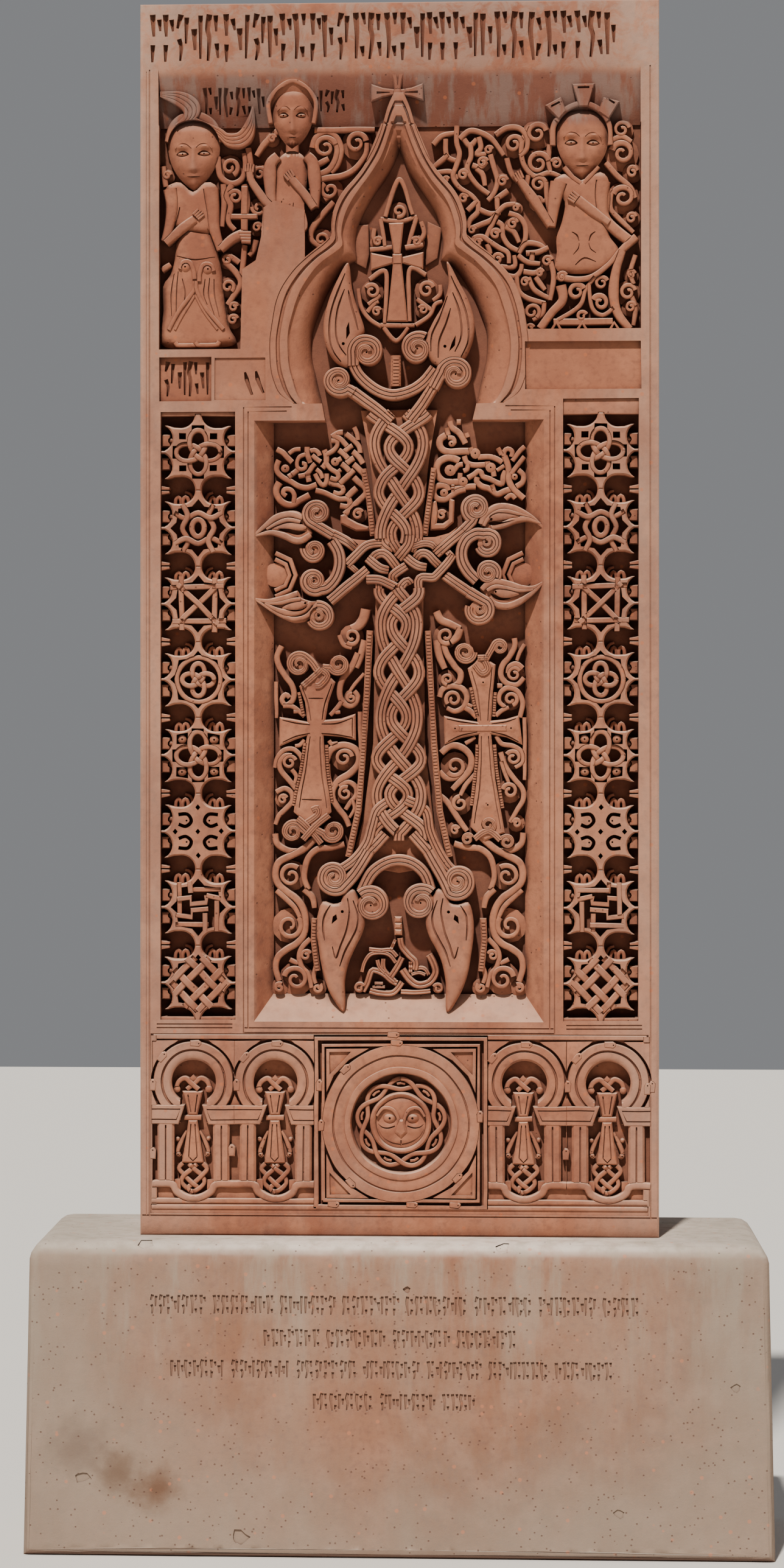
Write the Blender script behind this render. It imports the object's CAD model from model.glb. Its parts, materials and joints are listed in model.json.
# A carved cross stone of red tuff on its plinth, in metres; the carving is drawn in millimetres
import bpy
import json
import numpy as np
from math import sin, cos, pi, radians, hypot
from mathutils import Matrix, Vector
from mathutils.geometry import delaunay_2d_cdt

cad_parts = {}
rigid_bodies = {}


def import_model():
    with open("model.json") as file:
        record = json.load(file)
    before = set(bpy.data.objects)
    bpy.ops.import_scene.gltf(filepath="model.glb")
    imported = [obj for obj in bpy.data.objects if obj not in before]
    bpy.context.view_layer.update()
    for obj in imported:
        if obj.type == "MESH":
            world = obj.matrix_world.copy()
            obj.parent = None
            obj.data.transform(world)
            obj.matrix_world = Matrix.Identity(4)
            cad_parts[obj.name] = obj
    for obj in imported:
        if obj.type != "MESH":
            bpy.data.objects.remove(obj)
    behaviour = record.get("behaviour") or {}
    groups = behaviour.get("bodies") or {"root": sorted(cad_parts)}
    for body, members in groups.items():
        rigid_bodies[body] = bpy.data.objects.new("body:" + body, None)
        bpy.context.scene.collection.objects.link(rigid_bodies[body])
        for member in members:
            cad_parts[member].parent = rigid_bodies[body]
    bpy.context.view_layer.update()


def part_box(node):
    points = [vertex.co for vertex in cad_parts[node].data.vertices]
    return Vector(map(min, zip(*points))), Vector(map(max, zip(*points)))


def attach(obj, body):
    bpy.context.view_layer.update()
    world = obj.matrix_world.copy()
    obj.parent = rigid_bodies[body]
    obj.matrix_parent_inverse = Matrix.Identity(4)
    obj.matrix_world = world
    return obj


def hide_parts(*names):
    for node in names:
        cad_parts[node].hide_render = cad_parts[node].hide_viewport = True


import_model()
slabLow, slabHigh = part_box("cross_stone")
plinthLow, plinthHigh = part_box("plinth")

# The face as it is drawn: x from the centre line, z from the slab's foot, depths below the front
face = {"width": 1000.0, "height": 2380.0, "thickness": (slabHigh.y - slabLow.y) * 1000}
depth = {"cross": 1.5, "crossBed": 15, "field": 55, "panel": 46, "slope": 40, "star": 4, "band": 48,
         "smallPanel": 11, "foot": 30}


# Lines and outlines
def rect(x0, z0, x1, z1):
    return [(x0, z0), (x1, z0), (x1, z1), (x0, z1)]


def arc(cx, cz, radius, start, end, steps):
    angles = [start + (end - start) * i / steps for i in range(steps + 1)]
    return [(cx + radius * cos(a), cz + radius * sin(a)) for a in angles]


def disc(cx, cz, radius, sides):
    return arc(cx, cz, radius, 0, 2 * pi, sides)[:-1]


def mirrored(points):
    return [(-x, z) for x, z in reversed(points)]


def moved(points, dx, dz, turn=0.0):
    c, s = cos(turn), sin(turn)
    return [(dx + (x * c - z * s), dz + (x * s + z * c)) for x, z in points]


def smooth(points, step=4.0, closed=False):
    # a curve through the points, cut into spans of about one step
    pts = [np.array(p, float) for p in points]
    pts = [pts[-1]] + pts + pts[:2] if closed else [pts[0]] + pts + [pts[-1]]
    curve = []
    for a, b, c, d in zip(pts, pts[1:], pts[2:], pts[3:]):
        count = max(1, int(np.linalg.norm(c - b) / step + 0.5))
        for k in range(count):
            t = k / count
            curve.append(tuple(0.5 * (2 * b + (c - a) * t + (2 * a - 5 * b + 4 * c - d) * t * t
                                      + (3 * b - a - 3 * c + d) * t ** 3)))
    return curve if closed else curve + [tuple(points[-1])]


def volute(cx, cz, radius, start, turns, hand, step=4.0, eye=0.14):
    # a line that winds from the rim, at the angle start, in to the eye
    points, a = [], 0.0
    while a < 2 * pi * turns:
        r = radius * (1 - (1 - eye) * (a / (2 * pi * turns)) ** 1.35)
        points.append((cx + r * cos(start + hand * a), cz + r * sin(start + hand * a)))
        a += step / max(r, step)
    return points


# What a cut is: its edge, the level it is cut to, and lines or points that its surface bends along
def flat(edge, level):
    return {"edge": edge, "level": level, "guides": [], "points": []}


def inset(outline, by):
    # the outline moved inwards, for outlines that run anticlockwise
    pts = np.array(outline, float)
    before, after = pts - np.roll(pts, 1, axis=0), np.roll(pts, -1, axis=0) - pts
    before /= np.maximum(np.linalg.norm(before, axis=1), 1e-6)[:, None]
    after /= np.maximum(np.linalg.norm(after, axis=1), 1e-6)[:, None]
    normal = np.stack([-(before + after)[:, 1], (before + after)[:, 0]], 1)
    scale = np.maximum((normal ** 2).sum(1) / 2, 0.5)
    return [tuple(p) for p in pts + normal / scale[:, None] * by]


def area(outline):
    pts = np.array(outline, float)
    nxt = np.roll(pts, -1, axis=0)
    return 0.5 * float((pts[:, 0] * nxt[:, 1] - nxt[:, 0] * pts[:, 1]).sum())


def nearest(points, line):
    # distance to the line, and how far along it the nearest place is
    line = np.asarray(line, float)
    a, span = line[:-1], np.diff(line, axis=0)
    squared = np.maximum((span ** 2).sum(1), 1e-9)
    t = np.clip(((points[:, None] - a) * span).sum(2) / squared, 0, 1)
    gap = ((points[:, None] - a - t[..., None] * span) ** 2).sum(2)
    k = gap.argmin(1)
    row = np.arange(len(points))
    length = np.sqrt(squared)
    start = np.concatenate([[0], np.cumsum(length)])
    return np.sqrt(gap[row, k]), start[k] + t[row, k] * length[k]


def plate(edge, top, bevel=1.6, drop=1.4):
    # a flat piece with a worn edge; top may be a function of place
    edge = edge if area(edge) > 0 else edge[::-1]
    ring = np.array(edge + edge[:1], float)

    def level(points):
        away, _ = nearest(points, ring)
        base = top(points) if callable(top) else top
        return base - drop * np.clip(1 - away / bevel, 0, 1)
    return {"edge": edge, "level": level, "guides": [(inset(edge, bevel), True)], "points": []}


# Cross-sections of a carved line: share of the half width, and drop there in shares of the width
shapes = {
    "round": ((0, 0), (0.5, 0.02), (0.82, 0.11), (1, 0.27)),
    "ribs": ((0, 0), (0.23, 0.01), (0.35, 0.17), (0.47, 0.01), (0.82, 0.04), (1, 0.22)),
    "groove": ((0, 0.20), (0.28, 0.02), (0.72, 0.0), (1, 0.20)),
    "strap": ((0, 0), (0.72, 0.0), (1, 0.14)),
}


def strip(line, width, top, shape="round", rise=None, first=0.0):
    # a carved line; width may be a list of (share, width), and rise adds to the level along it
    pts = np.array(line, float)
    steps = np.linalg.norm(np.diff(pts, axis=0), axis=1)
    length = np.concatenate([[0], np.cumsum(steps)])
    total = max(length[-1], 1e-6)
    shares, widths = zip(*width) if isinstance(width, (list, tuple)) else ((0, 1), (width, width))
    half = np.interp(length / total, shares, widths) / 2
    tangent = np.gradient(pts, axis=0)
    tangent /= np.maximum(np.linalg.norm(tangent, axis=1), 1e-6)[:, None]
    normal = np.stack([-tangent[:, 1], tangent[:, 0]], 1)
    across, drops = zip(*shapes[shape])

    def side(share):
        return [tuple(p) for p in pts + normal * (half * share)[:, None]]

    def level(points):
        away, s = nearest(points, pts)
        wide = np.interp(s / total, shares, widths)
        base = top(points) if callable(top) else top
        lift = rise(s + first) if rise else 0.0
        return base + lift - wide * np.interp(away / (wide / 2), across, drops)
    guides = [(side(share * way), False) for share in across[:-1] for way in ((1, -1) if share else (1,))]
    return {"edge": side(-1) + side(1)[::-1], "level": level, "guides": guides, "points": []}


def dome(cx, cz, radius, top, drop, sides=14, squash=1.0, rings=3):
    def level(points):
        r = np.hypot(points[:, 0] - cx, (points[:, 1] - cz) / squash) / radius
        base = top(points) if callable(top) else top
        return base - drop * np.clip(r, 0, 1) ** 2.2
    circles = [moved(disc(0, 0, radius * k / rings, sides), cx, cz) for k in range(1, rings + 1)]
    circles = [[(x, cz + (z - cz) * squash) for x, z in circle] for circle in circles]
    return {"edge": circles[-1], "level": level, "guides": [(c, True) for c in circles[:-1]],
            "points": [(cx, cz)]}


def turned(cx, cz, profile, sides):
    # rings about a centre; profile is (radius, level) from the rim inwards
    radii, levels = zip(*sorted(profile))

    def level(points):
        return np.interp(np.hypot(points[:, 0] - cx, points[:, 1] - cz), radii, levels)
    guides = [(disc(cx, cz, r, sides), True) for r in radii[:-1] if r > 0]
    return {"edge": disc(cx, cz, radii[-1] - 1e-3, sides), "level": level, "guides": guides,
            "points": [(cx, cz)]}


def swell(edge, level, pitch=4.0):
    # a freely modelled surface inside an edge, sampled on a fine grid
    edge = edge if area(edge) > 0 else edge[::-1]
    pts = np.array(edge)
    low, high = pts.min(0), pts.max(0)
    gx, gz = np.meshgrid(np.arange(low[0], high[0], pitch), np.arange(low[1], high[1], pitch))
    gx = gx + (np.arange(gz.shape[0]) % 2)[:, None] * pitch / 2
    grid = np.stack([gx.ravel(), gz.ravel()], 1)
    grid = grid[inside(grid, edge)]
    away, _ = nearest(grid, np.array(edge + edge[:1]))
    return {"edge": edge, "level": level, "guides": [], "points": [tuple(p) for p in grid[away > pitch * 0.5]]}


def inside(places, outline):
    x, z = places[:, 0], places[:, 1]
    pts = np.array(outline, float)
    near = np.flatnonzero((x > pts[:, 0].min()) & (x < pts[:, 0].max())
                          & (z > pts[:, 1].min()) & (z < pts[:, 1].max()))
    turns = np.zeros(len(near), int)
    nx, nz = x[near], z[near]
    for (x0, z0), (x1, z1) in zip(pts, np.roll(pts, -1, axis=0)):
        if z0 == z1:
            continue
        left = (x1 - x0) * (nz - z0) - (nx - x0) * (z1 - z0)
        turns += ((z0 <= nz) & (z1 > nz) & (left > 0)).astype(int)
        turns -= ((z0 > nz) & (z1 <= nz) & (left < 0)).astype(int)
    found = np.zeros(len(places), bool)
    found[near[turns != 0]] = True
    return found


# Lines that pass over and under each other
def crossings(lines):
    found = []
    for i, first in enumerate(lines):
        for j in range(i, len(lines)):
            a, b = np.array(first), np.array(lines[j])
            p, r, q, s = a[:-1], np.diff(a, axis=0), b[:-1], np.diff(b, axis=0)
            den = r[:, None, 0] * s[None, :, 1] - r[:, None, 1] * s[None, :, 0]
            den[np.abs(den) < 1e-9] = 1e-9
            gap = q[None] - p[:, None]
            t = (gap[..., 0] * s[None, :, 1] - gap[..., 1] * s[None, :, 0]) / den
            u = (gap[..., 0] * r[:, None, 1] - gap[..., 1] * r[:, None, 0]) / den
            hit = (t >= 0) & (t < 1) & (u >= 0) & (u < 1)
            startA = np.concatenate([[0], np.cumsum(np.linalg.norm(r, axis=1))])
            startB = np.concatenate([[0], np.cumsum(np.linalg.norm(s, axis=1))])
            for k, m in zip(*np.nonzero(hit)):
                if i == j and m <= k + 1:
                    continue
                sa = startA[k] + t[k, m] * np.linalg.norm(r[k])
                sb = startB[m] + u[k, m] * np.linalg.norm(s[m])
                if i == j and (abs(sa - sb) < 6 or abs(abs(sa - sb) - startA[-1]) < 6):
                    continue
                found.append((i, sa, j, sb))
    return found


def stretch(line, s0, s1):
    # the part of a line between two distances along it
    pts = np.array(line, float)
    length = np.concatenate([[0], np.cumsum(np.linalg.norm(np.diff(pts, axis=0), axis=1))])
    s0, s1 = max(s0, 0.0), min(s1, length[-1])
    keep = (length > s0 + 0.5) & (length < s1 - 0.5)
    ends = [(np.interp(s, length, pts[:, 0]), np.interp(s, length, pts[:, 1])) for s in (s0, s1)]
    return [ends[0]] + [tuple(p) for p in pts[keep]] + [ends[1]], s0


def interlace(lines, width, top, shape="ribs", lift=2.6, reach=0.95, start=True):
    # every line alternates over and under at its crossings
    meets = crossings(lines)
    order = {}
    for m, (i, sa, j, sb) in enumerate(meets):
        order.setdefault(i, []).append((sa, m, 0))
        order.setdefault(j, []).append((sb, m, 1))
    for visits in order.values():
        visits.sort()
    firstOver = [None] * len(meets)
    for seed in range(len(meets)):
        if firstOver[seed] is not None:
            continue
        firstOver[seed] = start
        queue = [seed]
        while queue:
            m = queue.pop()
            for visits in order.values():
                for k, (_, here, side) in enumerate(visits):
                    if here != m:
                        continue
                    over = firstOver[m] if side == 0 else not firstOver[m]
                    for n in (k - 1, k + 1):
                        if 0 <= n < len(visits) and firstOver[visits[n][1]] is None:
                            wish = not over
                            firstOver[visits[n][1]] = wish if visits[n][2] == 0 else not wish
                            queue.append(visits[n][1])
    rises = []
    for i, line in enumerate(lines):
        knots = [(s, lift if (firstOver[m] if side == 0 else not firstOver[m]) else -lift)
                 for s, m, side in order.get(i, [])]
        rises.append(risesAlong(knots))
    widths = width if isinstance(width, list) else [width] * len(lines)
    cuts = [strip(line, wide, top, shape, rise) for line, wide, rise in zip(lines, widths, rises)]
    for m, (i, sa, j, sb) in enumerate(meets):
        k, s, under = (i, sa, j) if firstOver[m] else (j, sb, i)
        half = (widths[k] + widths[under]) / 2 * reach
        piece, begun = stretch(lines[k], s - half, s + half)
        cuts.append(strip(piece, widths[k], top, shape, rises[k], begun))
    return cuts


def risesAlong(knots):
    if not knots:
        return lambda s: 0.0 * s
    places, values = [], []
    for (s0, v0), (s1, v1) in zip(knots, knots[1:]):
        for k in range(6):
            t = k / 6
            places.append(s0 + (s1 - s0) * t)
            values.append(v0 + (v1 - v0) * (0.5 - 0.5 * cos(pi * t)))
    places.append(knots[-1][0])
    values.append(knots[-1][1])
    return lambda s: np.interp(s, places, values)


# The unevenness of hand work, in millimetres
def wobble(points, size=0.9):
    x, z = points[:, 0], points[:, 1]
    fade = np.clip((face["width"] / 2 - np.abs(x)) / 40, 0, 1) * np.clip(z / 40, 0, 1)
    fade = fade * np.clip((face["height"] - z) / 40, 0, 1) * size
    dx = np.sin(x / 17 + z / 29) + 0.6 * np.sin(z / 11 - x / 23) + 0.4 * np.sin(x / 7 + 1.3)
    dz = np.sin(z / 19 - x / 31) + 0.6 * np.sin(x / 13 + z / 37) + 0.4 * np.sin(z / 8 + 0.7)
    return np.stack([x + fade * dx * 0.5, z + fade * dz * 0.5], 1)


carved = []


# From cuts to one closed mesh: tops follow the levels, and walls stand wherever the level changes
def carve(name, cuts, back, place=None, waver=0.9, sharp=38, roughBack=None):
    spots, edges = [], []
    for cut in cuts:
        for line, closed in [(cut["edge"], True)] + cut["guides"]:
            first, count = len(spots), len(line)
            spots += [Vector(p) for p in line]
            edges += [(first + i, first + (i + 1) % count) for i in range(count if closed else count - 1)]
        spots += [Vector(p) for p in cut["points"]]
    spots, _, tris, *_ = delaunay_2d_cdt(spots, edges, [], 0, 0.02, False)
    plan = np.array([tuple(s) for s in spots])
    tris = np.array([tuple(t) for t in tris])
    centres = plan[tris].mean(axis=1)
    owner = np.full(len(tris), -1)
    for index, cut in enumerate(cuts):
        owner[inside(centres, cut["edge"])] = index
    tris, owner = tris[owner >= 0], owner[owner >= 0]
    levels = np.zeros(tris.shape)
    for index in np.unique(owner):
        mine = owner == index
        level = cuts[index]["level"]
        if callable(level):
            levels[mine] = level(plan[tris[mine]].reshape(-1, 2)).reshape(-1, 3)
        else:
            levels[mine] = level
    micron = np.round(levels * 1000).astype(np.int64)
    backLevel = int(round(back * 1000))
    micron = np.maximum(micron, backLevel + 100)

    span = 10 ** 7
    keys = tris.astype(np.int64) * span + (micron + span // 2)
    ends = [np.concatenate([c[:, k] for k in range(3)]) for c in (tris, np.roll(tris, -1, axis=1))]
    high = [np.concatenate([c[:, k] for k in range(3)]) for c in (micron, np.roll(micron, -1, axis=1))]
    pair = np.minimum(ends[0], ends[1]).astype(np.int64) * len(plan) + np.maximum(ends[0], ends[1])
    rank = np.argsort(pair, kind="stable")
    same = np.flatnonzero(pair[rank][1:] == pair[rank][:-1])
    partner = np.full(len(pair), -1)
    partner[rank[same]] = rank[same + 1]
    partner[rank[same + 1]] = rank[same]
    alone = np.flatnonzero(partner < 0)
    rimKeys = ends[0][alone].astype(np.int64) * span + (backLevel + span // 2)
    known = np.unique(np.concatenate([keys.ravel(), rimKeys]))
    corner, height = known // span, known % span - span // 2
    begin = np.searchsorted(corner, np.arange(len(plan)))
    finish = np.searchsorted(corner, np.arange(len(plan)), side="right")
    heights = height.tolist()

    def column(v, start, end):
        low, top = min(start, end), max(start, end)
        run = [i for i in range(begin[v], finish[v]) if low <= heights[i] <= top]
        return run if start < end else run[::-1]
    walls = []
    for h in range(len(pair)):
        other = partner[h]
        if other >= 0 and other < h:
            continue
        a, b, aHere, bHere = int(ends[0][h]), int(ends[1][h]), int(high[0][h]), int(high[1][h])
        if other >= 0:
            bThere, aThere = int(high[0][other]), int(high[1][other])
        else:
            aThere = bThere = backLevel
        if aHere == aThere and bHere == bThere:
            continue
        left, right = column(a, aHere, aThere), column(b, bHere, bThere)
        left, right = left or [np.searchsorted(known, a * span + aHere + span // 2)], \
            right or [np.searchsorted(known, b * span + bHere + span // 2)]
        i = j = 0
        while i < len(left) - 1 or j < len(right) - 1:
            if j == len(right) - 1 or (i < len(left) - 1 and i <= j):
                walls.append((right[j], left[i], left[i + 1]))
                i += 1
            else:
                walls.append((right[j], left[i], right[j + 1]))
                j += 1
    tops = np.searchsorted(known, keys)

    rim = sorted(set(ends[0][alone].tolist()))
    number = {v: k for k, v in enumerate(rim)}
    around = [(number[int(ends[0][h])], number[int(ends[1][h])]) for h in alone]
    rimSpots = [Vector(plan[v]) for v in rim]
    extra = []
    if roughBack:
        low, top = plan.min(0) + 20, plan.max(0) - 20
        extra = [Vector((x, z)) for x in np.arange(low[0], top[0], roughBack["pitch"])
                 for z in np.arange(low[1], top[1], roughBack["pitch"])]
    caps, _, capTris, original, *_ = delaunay_2d_cdt(rimSpots + extra, around, [], 0, 1e-5, True)
    capPlan = np.array([tuple(s) for s in caps])
    capTris = np.array([tuple(t) for t in capTris])
    covered = insideLoops(capPlan[capTris].mean(axis=1), plan, ends[0][alone], ends[1][alone])
    firstOf = [o[0] if o else -1 for o in original]
    capNumber, more = [], []
    for k, source in enumerate(firstOf):
        if 0 <= source < len(rim):
            capNumber.append(int(np.searchsorted(known, rim[source] * span + backLevel + span // 2)))
        else:
            capNumber.append(len(known) + len(more))
            more.append((capPlan[k][0], capPlan[k][1]))
    capFaces = [[capNumber[v] for v in t[::-1]] for t in capTris[covered]]

    ground = wobble(plan, waver)
    place = place or slabPlace
    xyz = place(ground[corner, 0], ground[corner, 1], height / 1000)
    if more:
        extraPlan = np.array(more)
        bumpy = roughBack["level"](extraPlan)
        xyz = np.concatenate([xyz, place(extraPlan[:, 0], extraPlan[:, 1], back + bumpy)])
    faces = tops.tolist() + [list(map(int, w)) for w in walls] + capFaces
    mesh = bpy.data.meshes.new(name)
    mesh.from_pydata(xyz.tolist(), [], faces)
    mesh.validate()
    item = bpy.data.objects.new(name, mesh)
    bpy.context.scene.collection.objects.link(item)
    mesh.shade_smooth()
    mesh.set_sharp_from_angle(angle=radians(sharp))
    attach(item, "root")
    carved.append(name)
    print(name, "carved:", len(faces), "triangles")
    return item


def insideLoops(places, plan, starts, finishes):
    turns = np.zeros(len(places), int)
    x, z = places[:, 0], places[:, 1]
    for a, b in zip(starts, finishes):
        (x0, z0), (x1, z1) = plan[a], plan[b]
        if z0 == z1:
            continue
        left = (x1 - x0) * (z - z0) - (x - x0) * (z1 - z0)
        turns += ((z0 <= z) & (z1 > z) & (left > 0)).astype(int)
        turns -= ((z0 > z) & (z1 <= z) & (left < 0)).astype(int)
    return turns != 0


def slabPlace(x, z, level):
    # drawing to world: the level runs back from the slab's front plane
    wide, tall = slabHigh.x - slabLow.x, slabHigh.z - slabLow.z
    middle = (slabHigh.x + slabLow.x) / 2
    return np.stack([middle + x * wide / face["width"], slabLow.y - level / 1000 + 0 * x,
                     slabLow.z + z * tall / face["height"]], 1)

# The slab: its frames, arch, niche, panels and the arcade at its foot
slabLook = {"bandInner": 316, "bandOuter": 461, "bandFoot": 416, "bandTop": 1600, "nicheOuter": 279,
            "nicheInner": 244, "sillFoot": 413, "sillTop": 465, "lintel": 1574, "slopeFoot": 2146,
            "slopeTop": 2255, "slopeEdge": 465, "edgeWear": 3.0}
archLook = {
    "outer": [(9, 2206), (20, 2180), (36, 2131), (50, 2096), (68, 2064), (86, 2042), (103, 2022), (118, 1998),
              (128, 1972), (131, 1950), (131, 1932), (146, 1914), (176, 1891), (202, 1867), (223, 1838),
              (236, 1806), (244, 1772), (249, 1738), (250, 1705), (247, 1672), (240, 1646), (229, 1625),
              (202, 1606)],
    "inner": [(0, 2102), (4, 2092), (14, 2068), (28, 2042), (44, 2020), (58, 2000), (70, 1978), (78, 1955),
              (82, 1932), (83, 1910), (80, 1886), (90, 1884), (104, 1874), (122, 1852), (138, 1826),
              (150, 1800), (160, 1774), (168, 1748), (170, 1722), (168, 1692), (161, 1660), (152, 1622),
              (141, 1566)],
    "profile": [(0.0, -3), (0.02, -1.5), (0.15, -1.5), (0.17, -6.5), (0.22, -6.5), (0.25, -1.2), (0.34, 0.0),
                (0.43, -1.2), (0.46, -8), (0.51, -10.5), (0.62, -11.5), (0.76, -19), (0.89, -32), (0.975, -45)],
}
footLook = {"centres": (-397, -238, 242, 403), "spring": 296, "opening": 43, "ring": 78,
            "medallion": (4, 217)}


def sloped(points):
    t = (points[:, 1] - slabLook["slopeFoot"]) / (slabLook["slopeTop"] - slabLook["slopeFoot"])
    return -depth["slope"] * (1 - np.clip(t, 0, 1))


def archLine(share):
    # one line of the moulding, a share of the way from its outer to its inner edge
    half = [(a + (c - a) * share, b + (d - b) * share)
            for (a, b), (c, d) in zip(archLook["outer"], archLook["inner"])]
    half = smooth(half, 7.0)
    return half + mirrored(half)


def sampled(lines):
    # the level of the nearest point among lines that each have one level
    where = np.concatenate([np.array(line) for line, _ in lines])
    value = np.concatenate([np.full(len(line), level) for line, level in lines])

    def level(points):
        out = np.zeros(len(points))
        for k in range(0, len(points), 2000):
            part = points[k:k + 2000]
            away = ((part[:, None] - where[None]) ** 2).sum(2)
            out[k:k + 2000] = value[away.argmin(1)]
        return out
    return level


def arch():
    lines = [(archLine(share), level) for share, level in archLook["profile"]]
    opening = archLine(1.0)
    moulding = {"edge": lines[0][0], "level": sampled(lines + [(opening, -depth["field"])]),
                "guides": [(line, False) for line, _ in lines[1:]], "points": []}
    return [moulding, flat(opening, -depth["field"])]


def grooves(lines, width=2.4, deep=2.2, base=0.0):
    return [flat(strip(line, width, 0, "strap")["edge"], base - deep) for line in lines]


def glyphs(x0, x1, foot, top, seed, base, size=1.0, word=0):
    # loose upright strokes and ticks in no alphabet, in the place of an inscription
    rng = np.random.default_rng(seed)
    cuts, x, tall, count = [], x0, top - foot, 0

    def bar(points, width):
        line = [(x + a * size, foot + b * tall) for a, b in points]
        line = smooth(line, 5) if len(line) > 2 else line

        def level(p):
            under = base(p) if callable(base) else base
            away, _ = nearest(p, np.array(line))
            return under - 10 * size + 4 * np.clip(away / (width / 2), 0, 1)
        made = strip(line, [(0, width), (0.45, width * 0.8), (1, width * 0.45)], 0, "strap")
        cuts.append({"edge": made["edge"], "level": level, "guides": [(line, False)], "points": []})
    marks = [([[(0, 1), (2, 0.55)], [(1, 0.38), (0, 0.02)], [(12, 0.9), (16, 0.66)]], 26),
             ([[(0, 0.98), (-2, 0.6), (3, 0)], [(13, 0.86), (17, 0.6)], [(14, 0.34), (11, 0.08)]], 30),
             ([[(6, 1.0), (0, 0.72)], [(2, 0.5), (7, 0.3), (4, 0.04)], [(18, 0.94), (16, 0.4)]], 32),
             ([[(0, 0.96), (0, 0.1)], [(12, 0.7), (13, 0.34)]], 26),
             ([[(0, 1.0), (4, 0.5), (2, 0.06)], [(15, 1.0), (17, 0.76)], [(14, 0.32), (16, 0.1)]], 31),
             ([[(0, 0.7), (2, 0.26)], [(13, 0.98), (12, 0.08)]], 27),
             ([[(2, 1.0), (-2, 0.7), (2, 0.46), (-2, 0.04)], [(14, 0.98), (15, 0.64)], [(15, 0.4), (18, 0.1)]], 33)]
    while x < x1:
        strokes, advance = marks[rng.integers(0, len(marks))]
        for k, stroke in enumerate(strokes):
            bar([(a + rng.uniform(-1, 1), b) for a, b in stroke], (11.5 if k == 0 else 9.5) * size)
        count += 1
        x += advance * size * rng.uniform(0.92, 1.06) + (20 * size if word and count % word == 0 else 0)
    return cuts


def slabBody():
    look = slabLook
    cuts = [plate(rect(-500, 0, 500, 2380), 0.0, look["edgeWear"], 2.2)]
    cuts += grooves([[(-482, 36), (-482, 2254)], [(484, 36), (483, 2254)]], 2.6, 2.0)
    cuts += glyphs(-476, 418, 2266, 2360, 11, 0.0)
    # the sloping band under the inscription
    cuts.append({"edge": rect(-look["slopeEdge"], look["slopeFoot"], look["slopeEdge"], look["slopeTop"]),
                 "level": sloped, "guides": [], "points": []})
    cuts += glyphs(-376, -262, 2166, 2220, 5, sloped, 0.72)
    cuts += glyphs(-160, -100, 2172, 2214, 8, sloped, 0.72)
    # sunk grounds of the panels above the niche
    left = [(-464, 1713), (-306, 1713), (-303, 1866), (-276, 1884), (-266, 1930), (-262, 1986), (-236, 1994),
            (-182, 1972), (-181, 1890), (-128, 1932), (-128, 1974), (-66, 2064), (-34, 2146), (-464, 2146)]
    right = [(240, 1748), (466, 1748), (466, 2146), (32, 2146), (66, 2064), (128, 1974), (130, 1932),
             (180, 1890), (222, 1840)]
    cuts += [flat(left, -depth["panel"]), flat(right, -depth["panel"])]
    gown = [(-262, 1932), (-262, 1986), (-240, 2000), (-182, 1980), (-182, 1936), (-215, 1920)]
    cuts.append(flat(gown, lambda p: -2.4 * np.clip((p[:, 1] - 1928) / 20, 0, 1)))
    cuts += arch()
    # lower small panels
    cuts += [plate(rect(-463, 1612, -362, 1698), -depth["smallPanel"], 1, 0.3),
             flat(rect(-356, 1614, -258, 1696), -3.5), flat(rect(243, 1632, 466, 1724), -depth["smallPanel"])]
    cuts += glyphs(-452, -376, 1620, 1690, 21, -depth["smallPanel"], 0.8)
    for line in ([(-298, 1668), (-293, 1650), (-284, 1624)], [(-276, 1670), (-271, 1650), (-262, 1628)]):
        cuts.append(flat(strip(smooth(line, 5), [(0, 4), (0.3, 9), (1, 5)], 0, "strap")["edge"], -13))
    # side bands
    for side in (-1, 1):
        a, b = sorted((side * look["bandInner"], side * look["bandOuter"]))
        top = look["bandTop"] - 8 if side < 0 else look["bandTop"] + 14
        cuts.append(flat(rect(a, look["bandFoot"], b, top), -depth["band"]))
    # the niche: a splay on three sides
    outer, inner = look["nicheOuter"], look["nicheInner"]
    frameTop = look["lintel"] + 18
    cuts += grooves([[(-300, 392), (-300, frameTop + 8), (-206, frameTop + 8)],
                     [(-291, 400), (-291, frameTop), (-216, frameTop)],
                     [(300, 392), (300, frameTop + 8), (206, frameTop + 8)],
                     [(291, 400), (291, frameTop), (216, frameTop)],
                     [(-300, 392), (300, 392)], [(-468, 408), (-322, 408)], [(322, 408), (468, 408)],
                     [(-468, 401), (-322, 401)], [(322, 401), (468, 401)], [(-298, 401), (298, 401)]])
    splayDepth = depth["field"] - 12

    def splay(points):
        t = (np.abs(points[:, 0]) - inner) / (outer - inner)
        s = (look["sillTop"] - points[:, 1]) / (look["sillTop"] - look["sillFoot"])
        return -splayDepth * (1 - np.clip(np.maximum(t, s), 0, 1))
    cuts.append({"edge": [(-outer, look["sillFoot"]), (outer, look["sillFoot"]), (outer, look["lintel"]),
                          (-outer, look["lintel"])], "level": splay,
                 "guides": [([(-outer, look["sillFoot"]), (-inner, look["sillTop"])], False),
                            ([(outer, look["sillFoot"]), (inner, look["sillTop"])], False)], "points": []})
    cuts.append(flat(rect(-inner, look["sillTop"], inner, look["lintel"] - 1), -depth["field"]))
    cuts.append(flat(rect(-142, look["lintel"] - 4, 142, look["lintel"] + 8), -depth["field"]))
    return cuts


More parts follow.
